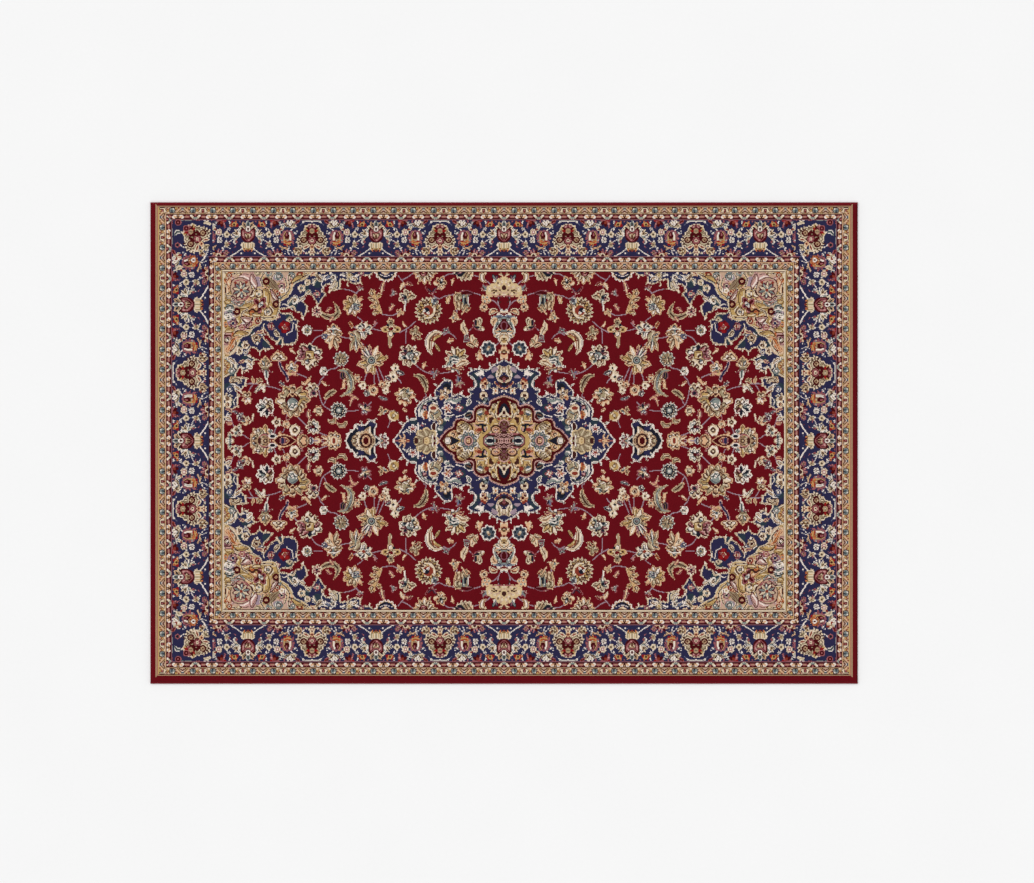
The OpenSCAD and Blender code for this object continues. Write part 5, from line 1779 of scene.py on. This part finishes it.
def serging_profile():
    """The section of the wrapped edge, from the slot round the outside and back through the bore, the same
    with its bore filled, and how far each point swells with the yarn."""
    bore = BEAD - WRAP
    outer = [(-BEAD, -BEAD), (-BEAD * 0.75, -BEAD), (-BEAD * 0.5, -BEAD)]
    outer += [(BEAD * math.sin(a), -BEAD * math.cos(a)) for a in np.linspace(0, math.pi, ARC_STEPS)]
    outer += [(-BEAD * 0.5, BEAD), (-BEAD, BEAD)]
    start = math.pi - math.asin(SLOT_TOP / bore)
    inner = [(bore * math.cos(a), bore * math.sin(a)) for a in np.linspace(start, -math.pi / 2, BORE_STEPS)]
    inner = [(-BEAD, SLOT_TOP)] + inner + [(-BEAD, -bore)]
    swell = [0.0, 0.0] + [1.0] * (len(outer) - 3) + [0.0] * (len(inner) + 1)
    closing = [(-BEAD * 0.75, SLOT_TOP + (-bore - SLOT_TOP) * k / (BORE_STEPS - 1))
        for k in range(BORE_STEPS)]
    plug = outer + [(-BEAD, SLOT_TOP)] + closing + [(-BEAD, -bore)]
    return np.array(outer + inner), np.array(plug), np.array(swell)


def serging(name, side, material):
    """Yarn wound round the long edge, each turn a rounded ridge that leans a little."""
    low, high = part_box(f"{name}_serging")
    middle = (high[1] if side > 0 else low[1]) - side * BEAD
    open_profile, plug, swell = serging_profile()
    turn = np.arctan2(open_profile[:, 1], open_profile[:, 0]) / (2 * math.pi)
    rng = np.random.default_rng(17 + side)
    rings = []
    count = int((high[0] - low[0]) / WRAP_PITCH * RINGS_A_TURN)
    for k in range(count + 1):
        x = low[0] + (high[0] - low[0]) * k / count
        ridge = np.abs(np.sin(math.pi * (x / WRAP_PITCH + WRAP_LEAN * turn)))
        r = 1 - swell * (RIDGE_DEPTH * (1 - ridge) + YARN_FUZZ * rng.random())
        if k in (0, count):
            r = 1
        filled = max(0.0, 1 - min(k, count - k) / PLUG_RINGS)
        profile = open_profile * (1 - filled) + plug * filled
        rings.append(np.column_stack([np.full(len(profile), x), middle + side * profile[:, 0] * r,
            BEAD + profile[:, 1] * r]))
    obj = swept(f"{name}_wrapped_edge", rings)
    smooth_shaded(obj, 60)
    return finished(obj, "edge_yarn", material, f"{name}_serging")


# The hem tape's thickness and its lip over the pile, its rings of points, and its waves (lengths in metres)
TAPE_THICKNESS, TAPE_LIP, TAPE_RINGS = 0.0004, 0.004, 530
TAPE_WAVE, TAPE_WAVE_PITCH = 0.00004, 0.009


def hem(name, side, material):
    """Woven tape that wraps the cut end, under it, up it and a little over it."""
    low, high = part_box(f"{name}_end_hem")
    end = high[0] if side > 0 else low[0]
    tape, z = high[0] - low[0], (low[2], high[2])
    t, lip = TAPE_THICKNESS, TAPE_LIP
    section = [(0.0002, z[0]), (tape * 0.5, z[0] + 0.00003), (tape, z[0]), (tape, z[0] + t),
        (tape * 0.5, z[0] + t), (t, z[0] + t), (t, z[0] + 0.001), (t, z[1] - t), (lip * 0.5, z[1] - t),
        (lip, z[1] - t), (lip, z[1] - 0.0001), (lip * 0.6, z[1]), (0.0002, z[1]), (0, z[1] - 0.0002),
        (0, (z[0] + z[1]) / 2), (0, z[0] + 0.0002)]
    section = np.array(section)
    rings = []
    for y in np.linspace(low[1], high[1], TAPE_RINGS):
        wave = TAPE_WAVE * math.sin(y * 2 * math.pi / TAPE_WAVE_PITCH)
        rings.append(np.column_stack([end - side * (section[:, 0] + wave * (section[:, 0] > 0.002)),
            np.full(len(section), y), section[:, 1]]))
    obj = swept(f"{name}_hem_tape", rings)
    smooth_shaded(obj, 40)
    return finished(obj, "hem_tape", material, f"{name}_end_hem")


# The stitches' pitch, length and width in metres, their sides and rings, and how blunt and twisted they are
STITCH_PITCH, STITCH_LENGTH, STITCH_WIDTH = 0.010, 0.007, 0.001
STITCH_AROUND, STITCH_ALONG = 10, 9
STITCH_BLUNT, STITCH_TWIST = 0.35, 0.12


def hem_stitches(name, material):
    """A row of flat stitches of twisted thread that holds the tape."""
    low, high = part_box(f"{name}_hem_stitching")
    x, half = (low[0] + high[0]) / 2, (high[2] - low[2]) / 2
    count = round((high[1] - low[1] - STITCH_LENGTH) / STITCH_PITCH) + 1
    around, along = STITCH_AROUND, STITCH_ALONG
    points, faces = [], []
    for k in range(count):
        y0, first = low[1] + k * STITCH_PITCH, len(points)
        for s in range(along + 1):
            share = s / along
            fat = math.sin(math.pi * share) ** STITCH_BLUNT if 0 < s < along else 0.0
            if fat == 0:
                points.append((x, y0 + STITCH_LENGTH * share, low[2] + half))
                continue
            for a in range(around):
                angle = 2 * math.pi * a / around
                twist = 1 + STITCH_TWIST * math.cos(2 * angle + share * along)
                points.append((x + STITCH_WIDTH / 2 * fat * twist * math.cos(angle),
                    y0 + STITCH_LENGTH * share, low[2] + half + half * 0.98 * fat * math.sin(angle)))
        ring_start = [first + 1 + around * s for s in range(along - 1)]
        last = ring_start[-1] + around
        for a in range(around):
            b = (a + 1) % around
            faces.append((first, ring_start[0] + b, ring_start[0] + a, ring_start[0] + a))
            for one, two in zip(ring_start, ring_start[1:]):
                faces.append((one + a, one + b, two + b, two + a))
            faces.append((last, ring_start[-1] + a, ring_start[-1] + b, ring_start[-1] + b))
    quads = np.array(faces)
    caps = quads[:, 2] == quads[:, 3]
    obj = mesh_object(f"{name}_stitches", points, [quads[~caps], quads[caps][:, :3]])
    outward(obj)
    smooth_shaded(obj, 80)
    return finished(obj, "edge_yarn", material, f"{name}_hem_stitching")


# The back's ribs in metres: from one to the next, half their height, and their least height over the floor
RIB_PITCH, RIB_HEIGHT, RIB_FOOT = 0.005, 0.00012, 0.00004


def backing(material):
    """The latex-dipped back, a thin sheet with the ribs of the weave on its underside."""
    low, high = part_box("back_coating")
    count = int((high[0] - low[0]) / RIB_PITCH)
    x = np.linspace(low[0], high[0], count * 4 + 1)
    under = low[2] + RIB_FOOT + RIB_HEIGHT * (1 + np.cos((x - low[0]) * 2 * math.pi / RIB_PITCH))
    section = np.concatenate([np.column_stack([x, under]),
        np.column_stack([x[::-1], np.full(len(x), high[2])])])
    rings = [np.column_stack([section[:, 0], np.full(len(section), y), section[:, 1]])
        for y in (low[1], high[1])]
    obj = swept("woven_back", rings)
    return finished(obj, "latex_back", material, "back_coating")


# ---------------------------------------------------------------- materials
class Nodes:
    """A material's node tree with short names for what is used in it."""

    def __init__(self, name, roughness=0.85, sheen=0.0, tint=(1, 1, 1)):
        self.material = bpy.data.materials.new(name)
        self.material.use_nodes = True
        self.tree = self.material.node_tree
        self.shader = self.tree.nodes["Principled BSDF"]
        self.shader.inputs["Roughness"].default_value = roughness
        self.shader.inputs["Sheen Weight"].default_value = sheen
        self.shader.inputs["Sheen Roughness"].default_value = 0.5
        self.shader.inputs["Sheen Tint"].default_value = (*tint, 1)
        self.shader.inputs["Specular IOR Level"].default_value = 0.05
        self.place = self.node("ShaderNodeTexCoord").outputs["Object"]

    def node(self, kind, **settings):
        """A new node; each setting is one of its properties or of its inputs."""
        n = self.tree.nodes.new(kind)
        for key, value in settings.items():
            if hasattr(n, key):
                setattr(n, key, value)
            else:
                n.inputs[key].default_value = value
        return n

    def link(self, a, b):
        self.tree.links.new(a, b)
        return b

    def scaled(self, x, y, z):
        n = self.node("ShaderNodeMapping")
        n.inputs["Scale"].default_value = (x, y, z)
        self.link(self.place, n.inputs["Vector"])
        return n.outputs["Vector"]

    def noise(self, vector, scale, detail=2.0, roughness=0.5):
        n = self.node("ShaderNodeTexNoise", Scale=scale, Detail=detail, Roughness=roughness)
        self.link(vector, n.inputs["Vector"])
        return n.outputs["Fac"]

    def wave(self, vector, scale, direction="X", distortion=0.0):
        n = self.node("ShaderNodeTexWave", Scale=scale, Distortion=distortion, bands_direction=direction)
        n.inputs["Detail"].default_value = 1.0
        self.link(vector, n.inputs["Vector"])
        return n.outputs["Fac"]

    def spread(self, value, low, high):
        n = self.node("ShaderNodeMapRange")
        n.inputs["To Min"].default_value, n.inputs["To Max"].default_value = low, high
        self.link(value, n.inputs["Value"])
        return n.outputs["Result"]

    def times(self, a, b):
        n = self.node("ShaderNodeMath", operation="MULTIPLY")
        self.link(a, n.inputs[0])
        self.link(b, n.inputs[1])
        return n.outputs[0]

    def shaded(self, colour, factor):
        n = self.node("ShaderNodeVectorMath", operation="SCALE")
        self.link(colour, n.inputs[0])
        self.link(factor, n.inputs["Scale"])
        return n.outputs[0]

    def blend(self, factor, a, b):
        n = self.node("ShaderNodeMix", data_type="RGBA")
        self.link(factor, n.inputs[0])
        n.inputs[6].default_value, n.inputs[7].default_value = (*a, 1), (*b, 1)
        return n.outputs[2]

    def done(self, colour, roughness, height, strength, distance):
        """The material with its colour, roughness and bump joined up."""
        self.link(colour, self.shader.inputs["Base Color"])
        self.link(roughness, self.shader.inputs["Roughness"])
        bump = self.node("ShaderNodeBump")
        bump.inputs["Strength"].default_value, bump.inputs["Distance"].default_value = strength, distance
        self.link(height, bump.inputs["Height"])
        self.link(bump.outputs["Normal"], self.shader.inputs["Normal"])
        return self.material


def pile_material(name, tint, abrash):
    """Cut pile: the knots' own colours with uneven dye along the rows, wear in patches and loose fibre."""
    n = Nodes(name, sheen=0.05, tint=tint)
    yarn = n.node("ShaderNodeAttribute", attribute_name="yarn").outputs["Color"]
    rows = n.spread(n.noise(n.scaled(1, 0.04, 1), 38, 3), 1 - abrash, 1 + abrash)
    patches = n.spread(n.noise(n.place, 2.2, 3), 0.95, 1.05)
    tufts = n.spread(n.noise(n.place, 420, 3, 0.7), 0.78, 1.22)
    factor = n.times(n.times(rows, patches), tufts)
    height = n.noise(n.place, 520, 4, 0.7)
    roughness = n.spread(n.noise(n.place, 60, 2), 0.78, 0.95)
    return n.done(n.shaded(yarn, factor), roughness, height, 0.55, 0.0012)


def yarn_material(name, dark, light, pitch, direction="X", sheen=0.06):
    """Wound or woven yarn: turns of two close shades with twist across them."""
    n = Nodes(name, sheen=sheen, tint=linear(light))
    turns = n.wave(n.place, 0.314 / pitch, direction, 1.5)
    twist = n.noise(n.place, 900, 3, 0.6)
    uneven = n.spread(n.noise(n.place, 14, 2), 0.88, 1.12)
    colour = n.shaded(n.blend(twist, linear(dark), linear(light)), uneven)
    height = n.times(turns, twist)
    return n.done(colour, n.spread(twist, 0.7, 0.92), height, 0.4, 0.0005)


def latex_material():
    """Dried latex over undyed weave, worn thin on the ribs."""
    n = Nodes("dried_latex")
    weave = n.times(n.wave(n.place, 63, "X", 0.6), n.wave(n.place, 63, "Y", 0.6))
    blotches = n.spread(n.noise(n.place, 9, 4), 0.85, 1.1)
    colour = n.shaded(n.blend(weave, linear((168, 150, 118)), linear((205, 192, 164))), blotches)
    return n.done(colour, n.spread(n.noise(n.place, 35, 2), 0.55, 0.8), weave, 0.5, 0.0006)


def build_materials():
    """All materials by the names of their slots."""
    return {"red_pile": pile_material("red_field_pile", (0.7, 0.3, 0.3), 0.07),
        "gold_pile": pile_material("gold_ground_pile", (0.8, 0.65, 0.45), 0.05),
        "navy_pile": pile_material("navy_ground_pile", (0.45, 0.45, 0.6), 0.08),
        "rust_pile": pile_material("rust_stripe_pile", (0.7, 0.35, 0.3), 0.06),
        "cream_pile": pile_material("cream_line_pile", (0.9, 0.8, 0.7), 0.04),
        "edge_yarn": yarn_material("wound_edge_yarn", (88, 14, 22), (128, 34, 40), 0.0032),
        "hem_tape": yarn_material("red_hem_tape", (84, 14, 22), (112, 26, 32), 0.0015, "Y"),
        "ground_yarn": yarn_material("undyed_ground_yarn", (150, 132, 100), (192, 176, 142), 0.003),
        "latex_back": latex_material()}


# ---------------------------------------------------------------- studio
# The camera looks straight down, as in the photo, and sees this width of floor about LOOK_AT
FRAME_WIDTH, LENS, SENSOR, CLIP_END = 3.433, 100.0, 36.0, 200
LOOK_AT = (0.043, 0.005)

# The floor's radius, corners and height, the light's strengths, and the sun's width and tilt in degrees
FLOOR_RADIUS, FLOOR_SIDES, FLOOR_Z = 40, 96, -0.0004
SKY_LIGHT, SUN_LIGHT, SUN_SPREAD, SUN_TILT = 0.78, 1.15, 50, (-24, -30)


def build_camera():
    """The camera at the photo's viewing angle."""
    camera = bpy.data.cameras.new("camera")
    camera.lens, camera.sensor_width, camera.clip_end = LENS, SENSOR, CLIP_END
    obj = bpy.data.objects.new("camera", camera)
    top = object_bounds()[1][2]
    obj.location = (*LOOK_AT, top + FRAME_WIDTH * LENS / SENSOR)
    bpy.context.scene.collection.objects.link(obj)
    bpy.context.scene.camera = obj


def floor_material():
    """Plain pale floor with a faint grain."""
    n = Nodes("pale_floor")
    grain = n.noise(n.place, 3, 2)
    colour = n.shaded(n.blend(grain, (0.86, 0.86, 0.86), (0.88, 0.88, 0.88)),
        n.spread(n.noise(n.place, 90, 2), 0.99, 1.01))
    return n.done(colour, n.spread(grain, 0.85, 0.95), grain, 0.02, 0.001)


def build_studio():
    """A round floor, an even white sky and one soft sun."""
    angles = [2 * math.pi * k / FLOOR_SIDES for k in range(FLOOR_SIDES)]
    points = [(FLOOR_RADIUS * math.cos(a), FLOOR_RADIUS * math.sin(a), FLOOR_Z) for a in angles]
    floor = mesh_object("floor", points, [np.arange(FLOOR_SIDES)[None, :]])
    floor.data.materials.append(floor_material())
    floor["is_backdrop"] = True
    world = bpy.data.worlds.new("studio")
    bpy.context.scene.world = world
    world.use_nodes = True
    world.node_tree.nodes["Background"].inputs[0].default_value = (1, 1, 1, 1)
    world.node_tree.nodes["Background"].inputs[1].default_value = SKY_LIGHT
    sun = bpy.data.lights.new("soft_key", "SUN")
    sun.energy, sun.angle = SUN_LIGHT, math.radians(SUN_SPREAD)
    lamp = bpy.data.objects.new("soft_key", sun)
    lamp.rotation_euler = (math.radians(SUN_TILT[0]), math.radians(SUN_TILT[1]), 0)
    bpy.context.scene.collection.objects.link(lamp)
    bpy.context.scene.view_settings.view_transform = "Standard"


def main():
    build_studio()
    build_camera()
    materials = build_materials()
    hidden = ("lower_wefts", "stuffer_warps", "upper_wefts", "front_edge_cord", "back_edge_cord")
    for name in hidden:
        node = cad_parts[name]
        node.data.materials.clear()
        node.data.materials.append(materials["ground_yarn"])
    pieces = build_pile(materials)
    for name, side in (("front", -1), ("back", 1)):
        pieces.append(serging(name, side, materials["edge_yarn"]))
    for name, side in (("left", -1), ("right", 1)):
        pieces.append(hem(name, side, materials["hem_tape"]))
        pieces.append(hem_stitches(name, materials["edge_yarn"]))
    back = backing(materials["latex_back"])


main()
bpy.context.view_layer.update()
